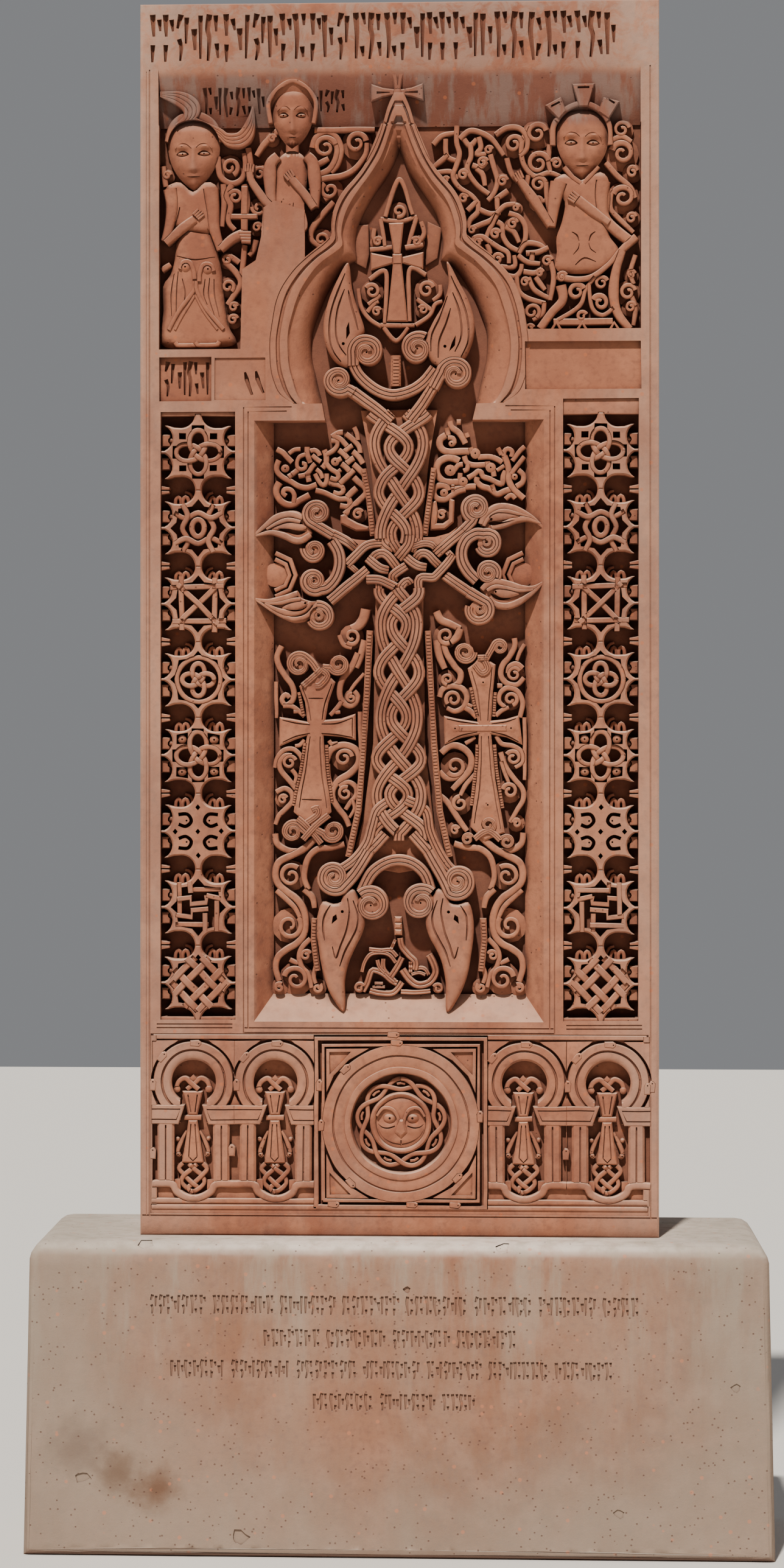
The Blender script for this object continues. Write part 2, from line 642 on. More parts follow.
def clasps(places, top):
    # where a strap end laps over the next, with a small drilled eye
    cuts = []
    for x, z, turn in places:
        tab = moved([(-11, -5), (6, -6.5), (11, -2), (11, 3), (5, 7), (-11, 6)], x, z, turn)
        cuts.append(plate(tab, top, 1.6, 1.6))
        ex, ez = moved([(6, 0)], x, z, turn)[0]
        cuts.append(flat(disc(ex, ez, 1.5, 6), top - 6))
    return cuts


def footRelief():
    # an arcade of four arches with paired columns, and the round medallion between them
    look = footLook
    low = -depth["smallPanel"]
    cuts = [flat(rect(-480, 42, 480, 390), -3), plate(rect(-478, 60, 478, 384), low, 1, 0.4)]
    cuts.append(strip([(-474, 384), (476, 384)], 9, 0, "strap"))
    for x in (-474, 476):
        cuts.append(strip([(x, 386), (x, 60)], 12, 0, "strap"))
    for z, w in ((66, 11), (54, 9)):
        cuts.append(strip([(-478, z), (478, z)], w, 0, "round"))
    for x in look["centres"]:
        z, ring = look["spring"], look["ring"]
        for corner in (-1, 1):
            cuts.append(plate([(x + corner * 80, 376), (x + corner * 30, 376), (x + corner * 44, 364),
                               (x + corner * 72, 334), (x + corner * 80, 312)], -2, 1.5, 1))
        rings = [(ring + 5, -18), (ring + 0.5, -18), (ring, -4), (ring - 1.5, -1), (ring - 14, -0.5), (ring - 15, -6),
                 (ring - 18, -6), (ring - 19, -1.5), (ring - 23, 0), (look["opening"] + 4, -1), (look["opening"], -5),
                 (look["opening"] - 0.5, -depth["foot"]), (0, -depth["foot"])]
        cuts.append(turned(x, z, rings, 56))
        cuts.append(flat(rect(x - 26, 76, x + 26, 262), -depth["foot"]))
        cuts.append(flat(rect(x - 38, 106, x + 38, 216), -depth["foot"]))
        for side in (-1, 1):
            cuts.append(flat([(x + side * 69, 104), (x + side * 80, 104), (x + side * 80, 216), (x + side * 69, 216)],
                             -20))
            cuts.append(plate([(x + side * 17, 251), (x + side * 81, 251), (x + side * 81, 214), (x + side * 30, 214)],
                              0, 1.5, 1.2))
            cuts += grooves([[(x + side * 81, 243), (x + side * 26, 243), (x + side * 34, 223), (x + side * 81, 223)]],
                            2.6, 3)
            cuts.append(strip([(x + side * 54, 214), (x + side * 54, 104)], 32, -1, "strap"))
            cuts += grooves([[(x + side * 54, 212), (x + side * 54, 106)]], 3.2, 5, -1)
        basin = smooth([(x - 80, 98), (x - 44, 98), (x - 34, 84), (x - 18, 74), (x, 70), (x + 18, 74), (x + 34, 84),
                        (x + 44, 98), (x + 80, 98)], 5)
        cuts.append(strip(basin, 14, 0, "round"))
    mx, mz = look["medallion"]
    cuts.append(plate(rect(mx - 168, 52, mx + 168, 388), -depth["smallPanel"] - 9, 1, 0.3))
    for inner, top in ((163, 0), (150, -1)):
        square = rect(mx - inner, mz - inner + 1, mx + inner, mz + inner + 1)
        cuts.append(strip(square + square[:1], 9 if inner > 155 else 7, top, "strap"))
    for sx in (-1, 1):
        for sz in (-1, 1):
            wedge = [(mx + sx * 144, mz + sz * 144), (mx + sx * 62, mz + sz * 144), (mx + sx * 100, mz + sz * 122),
                     (mx + sx * 130, mz + sz * 92), (mx + sx * 144, mz + sz * 60)]
            cuts.append(plate(wedge, -2, 1.6, 1))
            cuts.append(plate([(mx + sx * 138, mz + sz * 138), (mx + sx * 96, mz + sz * 138),
                               (mx + sx * 138, mz + sz * 94)], -7, 1.2, 0.5))
    rings = [(152, -6), (151, 0), (142, 1.0), (133, 0), (132, -5), (130, -5), (129, -2.5), (118, -1), (112, -4),
             (110, -4), (109, -1.5), (103, 0), (98, -2), (96, -8), (94, -depth["foot"] + 2), (90, -depth["foot"]),
             (0, -depth["foot"])]
    cuts.append(turned(mx, mz, rings, 96))
    spots = [(mx - 8, 372, 0), (mx - 153, mz - 4, pi / 2), (mx + 153, mz + 14, pi / 2), (mx - 106, mz + 104, 0.8),
             (mx + 110, mz - 104, 0.8), (mx - 96, mz - 116, -0.8), (mx - 14, 388, 0), (mx - 130, 60, 0),
             (mx + 22, 60, 0), (mx + 104, 60, 0)]
    for x in look["centres"]:
        spots += [(x + 4, look["spring"] + 74, 0), (x - 60, look["spring"] + 48, 0.9), (x + 84, 290, pi / 2)]
    spots += [(-476, 290, pi / 2), (-476, 158, pi / 2), (478, 286, pi / 2), (-322, 164, pi / 2), (322, 160, pi / 2)]
    cuts += clasps(spots, 0.0)
    cuts += grooves([[(-496, 38), (496, 38)]], 2.8, 2.5)
    cuts += grooves([[(-488, 38), (-488, 2250)]], 1.6, 1.0)
    return cuts


def slabBack(points):
    # the hidden face keeps the marks of rough splitting
    x, z = points[:, 0], points[:, 1]
    broad = 4.5 * np.sin(x / 120 + z / 95) + 3.5 * np.sin(z / 61 - x / 72)
    return 12.5 + broad + 2.4 * np.sin(x / 23 + z / 140) * np.sin(z / 29) + 1.4 * np.sin(x / 13 - z / 17)


slabPiece = carve("slabBody", slabBody() + footRelief(), -face["thickness"],
                  roughBack={"pitch": 24, "level": slabBack})
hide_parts("cross_stone")

# The great cross: ribbed strands that plait up the stem, wind into volutes and end in leaves
crossLook = {
    "strand": 22, "swing": 36,
    "loops": (1600, 1520, 1435, 1355, 1244, 1180, 1088, 1000, 920, 850, 775),
    # volute: centre, radius, start, hand, turns, share of the radius at the eye, width, and its lead
    "volutes": [
        ((-158, 1395), 21, 4.15, -1, 1.55, 0.2, 20, [(-128, 1352)]), ((-164, 1325), 19, 3.05, 1, 1.25, 0.25, 18, []),
        ((-164, 1264), 20, 5.35, -1, 1.6, 0.2, 23, [(-130, 1342), (-117, 1320), (-114, 1296), (-122, 1270),
                                                     (-138, 1252)]),
        ((-154, 1196), 21, 1.75, -1, 0.72, 0.9, 20, []), ((-156, 1197), 9, 1.9, -1, 0.9, 0.3, 9, []),
        ((149, 1404), 22, 4.5, -1, 1.6, 0.2, 20, [(126, 1362)]),
        ((170, 1335), 20, 1.9, -1, 0.75, 0.85, 23, [(150, 1264), (134, 1280), (122, 1302), (121, 1324), (131, 1344),
                                                    (149, 1355)]),
        ((168, 1338), 8, 1.5, -1, 0.9, 0.3, 8, []), ((172, 1279), 19, 5.8, 1, 1.6, 0.2, 18, []),
        ((154, 1207), 21, 0.75, -1, 0.69, 0.92, 22, [(134, 1243), (152, 1232)]),
        ((156, 1209), 9, 0.8, -1, 0.9, 0.3, 9, []),
        ((-62, 1706), 27, 3.14, -1, 1.5, 0.2, 22, [(-88, 1680)]),
        ((-116, 1652), 24, 5.5, -1, 1.5, 0.2, 21, [(-88, 1628)]),
        ((36, 1712), 25, 1.0, 1, 1.5, 0.2, 21, []), ((109, 1662), 27, 2.98, -1, 1.5, 0.2, 22, [(66, 1636)]),
        ((-125, 692), 27, 5.3, -1, 1.6, 0.16, 23, [(-58, 742), (-84, 700)]),
        ((-54, 638), 29, 2.35, -1, 1.3, 0.3, 22, []),
        ((113, 684), 27, 4.12, 1, 1.6, 0.16, 23, [(56, 742), (80, 700)]), ((42, 642), 29, 0.8, 1, 1.3, 0.3, 22, [])],
    # leaf of an arm: outline, strips, lens, eye and the dark notch under the lens
    "armLeaves": [
        ([(-281, 1351), (-262, 1372), (-240, 1390), (-210, 1401), (-188, 1396), (-180, 1376), (-167, 1358),
          (-176, 1347), (-196, 1342), (-220, 1352), (-248, 1361)],
         [[(-280, 1352), (-258, 1372), (-236, 1388), (-208, 1394), (-186, 1387)],
          [(-256, 1365), (-236, 1376), (-214, 1383), (-190, 1379)],
          [(-276, 1352), (-250, 1359), (-225, 1353), (-203, 1343), (-186, 1343), (-170, 1354)]],
         [(-246, 1364), (-226, 1374), (-204, 1377), (-188, 1374), (-178, 1368), (-186, 1362), (-202, 1363)],
         (-189, 1376), [(-234, 1365), (-210, 1356), (-192, 1353), (-180, 1360), (-196, 1361), (-214, 1365)]),
        ([(-279, 1230), (-252, 1229), (-222, 1236), (-196, 1246), (-190, 1233), (-170, 1225), (-150, 1227),
          (-157, 1204), (-178, 1189), (-204, 1185), (-230, 1195), (-254, 1211)],
         [[(-278, 1230), (-250, 1225), (-222, 1231), (-196, 1240)], [(-258, 1221), (-232, 1221), (-208, 1227),
                                                                    (-190, 1229)],
          [(-276, 1228), (-248, 1208), (-222, 1195), (-200, 1191), (-176, 1198), (-157, 1221)],
          [(-260, 1221), (-236, 1208), (-210, 1202), (-186, 1207), (-170, 1221)]],
         [(-226, 1211), (-206, 1222), (-186, 1225), (-176, 1219), (-184, 1211), (-202, 1208)], (-181, 1221),
         [(-220, 1209), (-202, 1205), (-184, 1208), (-176, 1216), (-186, 1210), (-202, 1208)]),
        ([(281, 1362), (258, 1382), (232, 1400), (206, 1413), (184, 1412), (166, 1400), (155, 1376), (172, 1364),
          (196, 1367), (222, 1377), (252, 1379)],
         [[(280, 1363), (256, 1385), (230, 1401), (204, 1408), (184, 1404), (166, 1392), (158, 1374)],
          [(254, 1386), (228, 1394), (204, 1399), (184, 1394), (170, 1382), (164, 1370)],
          [(272, 1373), (246, 1383), (222, 1380), (202, 1372), (178, 1366)]],
         [(234, 1388), (212, 1394), (190, 1396), (174, 1388), (180, 1380), (198, 1381), (216, 1384)], (178, 1383),
         [(172, 1376), (184, 1379), (200, 1377), (224, 1381), (202, 1374), (180, 1370)]),
        ([(281, 1262), (262, 1251), (238, 1249), (212, 1259), (190, 1268), (170, 1263), (156, 1250), (166, 1236),
          (180, 1213), (204, 1210), (228, 1216), (252, 1231)],
         [[(279, 1261), (258, 1250), (234, 1250), (210, 1258), (190, 1263), (172, 1258), (160, 1247)],
          [(258, 1246), (232, 1244), (206, 1250), (186, 1253), (170, 1245)],
          [(276, 1258), (254, 1238), (230, 1222), (206, 1215), (184, 1219), (174, 1231)]],
         [(232, 1238), (214, 1246), (194, 1248), (183, 1242), (194, 1233), (212, 1231)], (187, 1243),
         [(176, 1240), (184, 1230), (198, 1226), (216, 1230), (198, 1231), (188, 1236)])],
    # tall leaf: outline, grooves, eye and notch
    "tallLeaves": [
        ([(-98, 1879), (-118, 1848), (-136, 1806), (-146, 1762), (-143, 1724), (-126, 1692), (-100, 1676),
          (-90, 1700), (-82, 1728), (-66, 1748), (-80, 1790), (-92, 1834)],
         [[(-112, 1688), (-129, 1712), (-135, 1747), (-130, 1786), (-117, 1826), (-104, 1858)],
          [(-102, 1700), (-117, 1722), (-122, 1752), (-117, 1790), (-105, 1828)],
          [(-78, 1748), (-90, 1790), (-98, 1826)]],
         (-107, 1722), [(-101, 1730), (-94, 1742), (-96, 1764), (-101, 1752)]),
        ([(92, 1880), (112, 1848), (132, 1808), (145, 1768), (143, 1730), (128, 1696), (104, 1682), (84, 1674),
          (62, 1690), (50, 1722), (64, 1760), (86, 1800), (96, 1838)],
         [[(120, 1696), (134, 1728), (132, 1770), (118, 1812), (100, 1852)],
          [(108, 1706), (121, 1738), (118, 1778), (104, 1820)],
          [(62, 1706), (64, 1738), (80, 1774), (94, 1814)], [(76, 1694), (78, 1728), (92, 1762), (100, 1790)]],
         (88, 1716), [(96, 1706), (108, 1718), (110, 1738), (102, 1724)]),
        ([(-106, 432), (-130, 460), (-146, 504), (-154, 550), (-159, 590), (-157, 618), (-148, 644), (-128, 640),
          (-112, 644), (-108, 656), (-90, 670), (-78, 652), (-69, 626), (-66, 602), (-73, 578), (-87, 551),
          (-98, 524), (-104, 490)],
         [[(-133, 638), (-143, 620), (-146, 596), (-143, 570)],
          [(-99, 652), (-95, 626), (-101, 592), (-112, 560), (-121, 536), (-128, 558)],
          [(-88, 648), (-79, 620), (-81, 596), (-92, 572), (-104, 548), (-114, 520)]],
         (-109, 626), [(-130, 602), (-119, 611), (-121, 621), (-128, 616)])],
    # strands that cross the stem, each with its width
    "ties": [
        (22, [(-88, 1682), (-78, 1662), (-60, 1644), (-36, 1630), (-8, 1624), (24, 1632), (50, 1650), (70, 1674)]),
        (22, [(22, 1574), (44, 1604), (66, 1640)]), (22, [(-14, 1572), (-48, 1600), (-90, 1630)]),
        (22, [(-72, 664), (-54, 698), (-28, 718), (0, 725), (28, 718), (50, 698), (60, 668)]),
        (22, [(-58, 742), (-44, 756), (-26, 776)]), (22, [(56, 742), (44, 756), (26, 776)]),
        (19, [(-14, 842), (-42, 822), (-52, 790), (-62, 758), (-86, 727), (-108, 710)]),
        (19, [(14, 842), (50, 822), (60, 782), (74, 748), (92, 718), (104, 704)])],
    # the knot at the middle, from the lowest strand up: width, lift at its start, middle and end, and the line
    "knot": [
        (20, 0, 0, -5, [(-33, 1345), (-29, 1334), (-13, 1321)]), (19, 0, 0, -5, [(-13, 1340), (-8, 1332), (-1, 1321)]),
        (16, 0, 0, -5, [(34, 1346), (31, 1334), (25, 1320)]),
        (19, 1, 1, -5, [(-130, 1355), (-102, 1342), (-84, 1328)]),
        (11, -3, -1, -5, [(-98, 1296), (-82, 1282)]),
        (17, 0, 2, -2, [(-101, 1296), (-80, 1317), (-64, 1331), (-50, 1336),
                                                                      (-33, 1337)]),
        (19, -5, 1, 1, [(-61, 1287), (-90, 1262), (-134, 1226)]), (13, -2, 0, -3, [(27, 1330), (48, 1336), (64, 1334),
                                                                                   (73, 1325)]),
        (20, -5, 1, 1, [(71, 1316), (95, 1338), (120, 1357), (134, 1370)]),
        (12, -4, 0, -4, [(93, 1321), (104, 1308)]), (19, -5, 1, 1, [(89, 1275), (97, 1269), (136, 1242)]),
        (14, -4, -3, -1, [(-39, 1264), (-39, 1248)]),
        (20, 1, 2, -4, [(22, 1352), (19, 1336), (9, 1322), (-3, 1308)]),
        (17, -5, 2, -4, [(-51, 1305), (-45, 1313), (-33, 1317), (-22, 1312), (-11, 1300), (-2, 1288)]),
        (17, -3, 2, -5, [(-61, 1308), (-48, 1297), (-34, 1288), (-19, 1285)]),
        (17, -4, 2, -4, [(14, 1294), (2, 1286), (-9, 1277), (-12, 1270), (-8, 1261)]),
        (16, -5, 2, -5, [(33, 1308), (39, 1315), (48, 1318), (58, 1314), (67, 1304), (77, 1294)]),
        (17, -3, 2, -5, [(12, 1312), (25, 1301), (38, 1293), (53, 1290)]),
        (16, -2, 2, 0, [(104, 1314), (92, 1297), (72, 1274), (64, 1270), (44, 1271), (37, 1264), (38, 1249)]),
        (17, -3, 2, 1, [(-63, 1268), (-48, 1268), (-35, 1266), (-20, 1259), (-3, 1250)]),
        (17, -3, 1, 0, [(22, 1257), (17, 1264), (9, 1259), (3, 1250)])],
}
crossTop = -depth["cross"] - 1


def stemPhase(z):
    loops = crossLook["loops"]
    for k, (upper, lower) in enumerate(zip(loops, loops[1:])):
        if z >= lower:
            return pi / 2 * (k - 1 + (upper - z) / (upper - lower))
    return pi / 2 * (len(loops) - 2)


def plaitStrand(kind, sign, top, foot, count=110):
    points = []
    for i in range(count + 1):
        z = top + (foot - top) * i / count
        phase = stemPhase(z)
        x = crossLook["swing"] * cos(phase) if kind == 0 else 12 - 27 * cos(2 * phase)
        spread = 1 + 0.32 * max(0, (1000 - z) / 240) + 0.6 * max(0, (z - 1450) / 140)
        points.append((sign * x * spread, z))
    return points


def curl(lead, centre, radius, start, hand, turns=1.3, width=21, end=8, top=0.0, shape="ribs", eye=0.22):
    # a strand that runs in along the lead and winds to the eye
    winding = volute(centre[0], centre[1], radius, start, turns, hand, 3.0, eye)
    line = smooth(list(lead) + winding[:1], 4.0)[:-1] + winding if lead else winding
    steps = np.linalg.norm(np.diff(np.array(line), axis=0), axis=1)
    run = sum(np.linalg.norm(np.diff(np.array(winding), axis=0), axis=1)) / steps.sum()
    widths = [(0, width), (max(0.01, 1 - run), width), (1 - run * 0.5, width * 0.72), (1, end)]
    return strip(line, widths, top, shape)


def armLeaf(body, strips, lens, eye, notch, top=-3.0):
    # a half palmette: nicked strips about a lens, with a drilled eye
    cuts = [plate(smooth(body, 6, True), top - 8, 2, 2)]
    for k, line in enumerate(strips):
        wide = 12 if k in (0, len(strips) - 1) else 8
        cuts.append(strip(smooth(line, 5), [(0, 4), (0.45, wide), (0.9, wide), (1, wide * 0.8)], top, "round"))
    cuts.append(plate(smooth(lens, 4, True), top - 1, 4, 2.5))
    return cuts + [flat(smooth(notch, 4, True), top - 20), flat(disc(eye[0], eye[1], 2.3, 8), top - 14)]


def tallLeaf(body, grooved, eye, notch, top=-3.0):
    # a broad pointed leaf with rounded edges, a few long grooves, a drilled eye and a notch
    body = smooth(body, 8, True)
    rim = np.array(body + body[:1])

    def blade(points):
        away, _ = nearest(points, rim)
        return top - 8 * np.clip(1 - away / 9, 0, 1) ** 2
    cuts = [swell(body, blade, 7)]
    cuts[0]["guides"] = [(inset(body if area(body) > 0 else body[::-1], 3), True)]
    for line in grooved:
        groove = strip(smooth(line, 6), [(0, 2), (0.3, 4), (0.8, 4), (1, 1.6)], 0, "strap")
        cuts.append(flat(groove["edge"], lambda p: blade(p) - 5))
    return cuts + [flat(notch, top - 20), flat(disc(eye[0], eye[1], 3.2, 8), top - 18)]


def hatched(line, width, top, pitch=7.0):
    # a fillet nicked right across at every pitch
    cuts = [strip(line, width, top - 2.2, "strap")]
    pts = np.array(line)
    total = np.linalg.norm(np.diff(pts, axis=0), axis=1).sum()
    s = pitch * 0.5
    while s < total - pitch * 0.4:
        piece, _ = stretch(line, s, s + pitch * 0.62)
        cuts.append(strip(piece, width * (0.9 + 0.1 * sin(s)), top + 0.5 * sin(1.7 * s), "round"))
        s += pitch * (1 + 0.12 * sin(s))
    return cuts


def bent(line, first, middle, last):
    # how far a strand rises above the general level at its start, along its middle and at its end
    total = np.linalg.norm(np.diff(np.array(line), axis=0), axis=1).sum()
    return lambda s: np.interp(s / total, (0, 0.28, 0.72, 1), (first, middle, middle, last))


def greatCross():
    look = crossLook
    body = [(-42, 1340), (-56, 1500), (-74, 1596), (74, 1596), (58, 1500), (42, 1340), (48, 1290), (46, 1250),
            (50, 950), (66, 800), (96, 716), (0, 700), (-96, 716), (-70, 800), (-50, 950), (-46, 1250), (-50, 1290)]
    cuts = [plate(body, -depth["crossBed"] - 16, 2, 1)]
    cuts += [plate([(-112, 1352), (-84, 1326), (-62, 1340), (-42, 1338), (-42, 1346), (-56, 1342), (-84, 1345)],
                   -6, 2, 1),
             plate([(38, 1347), (42, 1342), (66, 1341), (76, 1330), (90, 1340), (114, 1368), (96, 1356), (70, 1349)],
                   -6, 2, 1)]
    for leaf in look["armLeaves"]:
        cuts += armLeaf(*leaf)
    for leaf in look["tallLeaves"]:
        cuts += tallLeaf(*leaf)
    # the lower leaf on the right mirrors the last one in the table
    outline, grooved, eye, notch = look["tallLeaves"][-1]
    twin = [[(-14 - x, z) for x, z in line] for line in (outline, notch, [eye], *grooved)]
    cuts += tallLeaf(twin[0], twin[3:], twin[2][0], twin[1])
    for side in (-1, 1):
        cuts += hatched([(side * x, z) for x, z in ((56, 1168), (62, 1050), (68, 950), (78, 820), (98, 732))],
                        12, -10)
        cuts += hatched([(side * 68, 1482), (side * 58, 1420), (side * 50, 1352)], 11, -12)
        cuts += hatched([(side * 163, 612), (side * 165, 570), (side * 158, 510)], 12, -16)
    cuts += hatched([(-6, 1700), (-6, 1642)], 19, -16)
    lines = [plaitStrand(kind, sign, 1588, 1334, 40) for kind in (1, 0) for sign in (-1, 1)]
    cuts += interlace(lines, look["strand"], crossTop - 2, "ribs", 2.4, 0.78)
    for wide, first, middle, last, line in look["knot"]:
        cuts.append(strip(smooth(line, 4), wide, crossTop - 2, "ribs", bent(smooth(line, 4), first, middle, last)))
    lines = [plaitStrand(kind, sign, 1250, 762, 70) for kind in (1, 0) for sign in (-1, 1)]
    widths = [look["strand"]] * len(lines) + [wide for wide, _ in look["ties"]]
    lines += [smooth(tie, 4) for _, tie in look["ties"]]
    cuts += interlace(lines, widths, crossTop - 2, "ribs", 2.4, 0.78)
    for centre, radius, *_ in look["volutes"]:
        cuts.append(dome(centre[0], centre[1], radius * 0.9, crossTop - 4, 2, 14))
    for centre, radius, start, hand, turns, eye, wide, lead in look["volutes"]:
        end = 8 if turns > 1 else wide * 0.72
        cuts.append(curl(lead, centre, radius, start, hand, turns, wide, end, crossTop + 0.5, "ribs", eye))
        if turns > 0.85:
            cuts.append(flat(disc(centre[0], centre[1], 1.9, 8), crossTop - 11))
    return cuts


carve("greatCross", greatCross(), -depth["field"] - 1.5)

# The bands of eight stars: a pierced lattice, a knot inside every star, petals in the openings
starLook = {"pitch": 146.7, "first": 487.0, "top": -depth["star"], "petal": -33}


def starOutline(mx, mz, half, rise):
    ratio = half / 72.5
    lift = rise / 73.35
    quarter = [(5.5, rise + 1)] + [(x * ratio, z * lift) for x, z in arc(33, 73.5, 27, pi, 1.5 * pi, 8)]
    quarter += [(46 * ratio, 47 * lift), (59 * ratio, 51 * lift)]
    quarter += [(x * ratio, z * lift) for x, z in arc(77, 27, 27, 2.05, 4.28, 8)]
    quarter += [(half + 1.5, 2.6)]
    right = quarter + [(x, -z) for x, z in reversed(quarter)]
    return [(mx + x, mz + z) for x, z in right] + [(mx - x, mz + z) for x, z in reversed(right)]


def knotLines(kind):
    # the strands inside one star, about its centre, and the openings cut before them
    ring = [(30 * cos(a) + 1, 30 * sin(a)) for a in np.linspace(0, 2 * pi, 33)]
    loop = [(18 * cos(t) + 25 * cos(3 * t), 18 * sin(t) - 25 * sin(3 * t)) for t in np.linspace(0, 2 * pi, 90)]
    window = [(0, 56), (12, 42), (38, 38), (42, 12), (54, 0), (42, -12), (38, -38), (12, -42), (0, -56),
              (-12, -42), (-38, -38), (-42, -12), (-54, 0), (-42, 12), (-38, 38), (-12, 42)]
    small = [rect(x * 30 - 7, z * 31 - 6, x * 30 + 7, z * 31 + 6) for x in (-1, 1) for z in (-1, 1)]
    cross = [(-12, -52), (12, -52), (14, -14), (50, -12), (50, 12), (14, 14), (12, 52), (-12, 52), (-14, 14),
             (-50, 12), (-50, -12), (-14, -14)]
    if kind == 0:
        return small + [cross], [loop], 9, []
    if kind == 1:
        waves = [[(s * 30, 46), (s * 20, 24), (s * 30, 0), (s * 20, -24), (s * 30, -46)] for s in (-1, 1)]
        waves += [[(-46, s * 30), (-24, s * 20), (0, s * 30), (24, s * 20), (46, s * 30)] for s in (-1, 1)]
        oval = [(12 * cos(a), 17 * sin(a)) for a in np.linspace(0, 2 * pi, 20)]
        return [window], [smooth(w, 5) for w in waves] + [oval], 10, []
    if kind == 2:
        bars = [[(-33, 54), (-31, -50)], [(33, 50), (31, -54)], [(-54, 32), (50, 34)],
                [(-50, -34), (54, -32)], [(-40, 38), (0, 0), (38, -38)], [(40, 38), (0, 0), (-40, -38)]]
        return [window], bars, 10, []
    if kind == 3:
        lines = [[(x * share, z * share) for x, z in line] for line, share in ((ring, 1.42), (loop, 0.72))]
        return [window], lines, 9, []
    if kind == 4:
        corners = [[(s * 42, t * 22), (s * 19, t * 22), (s * 19, t * 44), (s * 42, t * 40)]
                   for s in (-1, 1) for t in (-1, 1)]
        dots = [(s * 31, t * 31) for s in (-1, 1) for t in (-1, 1)]
        return corners + [cross], [[(x, z * 1.06) for x, z in loop]], 9, dots
    if kind == 5:
        gaps = [[(0, 6), (5, 0), (0, -6), (-5, 0)]]
        gaps += [[(x + a, z + b) for a, b in gaps[0]] for x, z in ((0, 47), (0, -47), (45, 0), (-45, 0))]
        hooks = [strip(smooth([(s * 38, t * 32), (s * 20, t * 33), (s * 13, t * 20), (s * 24, t * 10),
                               (s * 38, t * 14)], 4), 7, 0)["edge"] for s in (-1, 1) for t in (-1, 1)]
        return gaps + hooks, [], 9, []
    if kind == 6:
        bars = [[(-16, 34), (44, 34)], [(-36, 48), (-36, -14)], [(-40, 16), (-14, 19), (-14, 6), (16, 8), (16, 22)],
                [(16, 22), (44, 16)], [(36, 12), (36, -46)], [(-44, -16), (-12, -20), (-12, -6), (20, -4)],
                [(-44, -34), (20, -34)], [(14, -12), (14, -46)], [(-16, 50), (-14, 28)]]
        return [window], bars, 9, []
    slants = [[(-50, 4), (-6, 50)], [(-46, -22), (22, 48)], [(-26, -46), (46, 26)], [(0, -54), (52, 2)]]
    slants += [[(-a, b), (-c, d)] for (a, b), (c, d) in slants]
    return [window], slants, 13, []


def starLattice(side):
    look, band = starLook, slabLook
    middle = side * (band["bandInner"] + band["bandOuter"]) / 2
    half, rise = (band["bandOuter"] - band["bandInner"]) / 2, look["pitch"] / 2
    cuts, low = [], -depth["band"] + 12
    rows = [look["first"] + look["pitch"] * k for k in range(8)]
    top, foot = rows[-1] + rise, rows[0] - rise
    bars = [rect(middle - half - 1, foot - 1, middle + half + 1, foot + 8),
            rect(middle - half - 1, top - 3, middle + half + 1, band["bandTop"] + (14 if side > 0 else -8) + 1)]
    cuts += [plate(bar, look["top"] - 1, 1.5, 1) for bar in bars]
    for row, mz in enumerate(rows):
        rng = np.random.default_rng(40 + row + 10 * (side > 0))
        # blocks and bars that stand out of the frame
        for s in (-1, 1):
            for t in (-1, 1):
                x = middle + s * (half - 9)
                cuts.append(plate(rect(x - 9, mz + t * 22 - 11, x + 9, mz + t * 22 + 13), -16, 2, 3))
                cuts.append(dome(middle + s * (half - 20), mz + t * 20 + 3, 7.5, -17, 9, 9))
            for dz in (-5, 5):
                z = mz + rise + dz
                line = [(middle + s * (half + 1), z), (middle + s * (half - 17), z - dz * 0.3)]
                if row < 7:
                    cuts.append(strip(line, [(0, 8), (1, 4)], -8, "strap"))
        # petals at the foot of each round opening
        for s in (-1, 1):
            if row < 7:
                hx, hz = middle + s * 33, mz + rise
                for lean in (-1, 1):
                    petal = smooth([(hx + lean * 2, hz - 30), (hx + lean * 2, hz - 18), (hx + lean * 7, hz - 11),
                                    (hx + lean * 12, hz - 17), (hx + lean * 13, hz - 28)], 4)
                    cuts.append(strip(petal, 7, look["petal"] + lean * 2 + rng.uniform(-2, 2), "round"))
                bud = smooth([(hx - s * 22, hz - 18), (hx - s * 16, hz - 6), (hx - s * 6, hz - 2)], 4)
                cuts.append(strip(bud, [(0, 8), (1, 5)], look["petal"] - 4, "round"))
    cuts += [plate(starOutline(middle, mz, half, rise), look["top"], 3.0, 3.4) for mz in rows]
    for row, mz in enumerate(rows):
        kind = 7 - row
        windows, lines, width, dots = knotLines(kind)
        flip = -1 if side > 0 and kind in (5, 6) else 1
        for window in windows:
            cuts.append(flat([(middle + flip * x, mz + z) for x, z in window][::flip], low))
        for x, z in dots:
            cuts.append(dome(middle + x, mz + z, 8.5, look["top"] - 3, 4, 10))
            cuts.append(flat(disc(middle + x, mz + z, 2, 6), look["top"] - 13))
        placed = [[(middle + flip * x, mz + z) for x, z in line] for line in lines]
        shape = "strap" if kind in (2, 6, 7) else "round"
        if placed:
            cuts += interlace(placed, width, look["top"] - 2.2, shape, 2.2, 0.8, side > 0)
        if kind == 5:
            for s in (-1, 1):
                for t in (-1, 1):
                    cuts.append(flat(disc(middle + s * 22, mz + t * 21, 2, 6), look["top"] - 13))
    return cuts


carve("leftStars", starLattice(-1), -depth["band"] - 1.5)
carve("rightStars", starLattice(1), -depth["band"] - 1.5)

# Scrolling vines, side crosses and knots that fill the sunk grounds
vineLook = {"field": -24.0, "panel": -20.0, "arch": -26.0, "drift": 2.0}
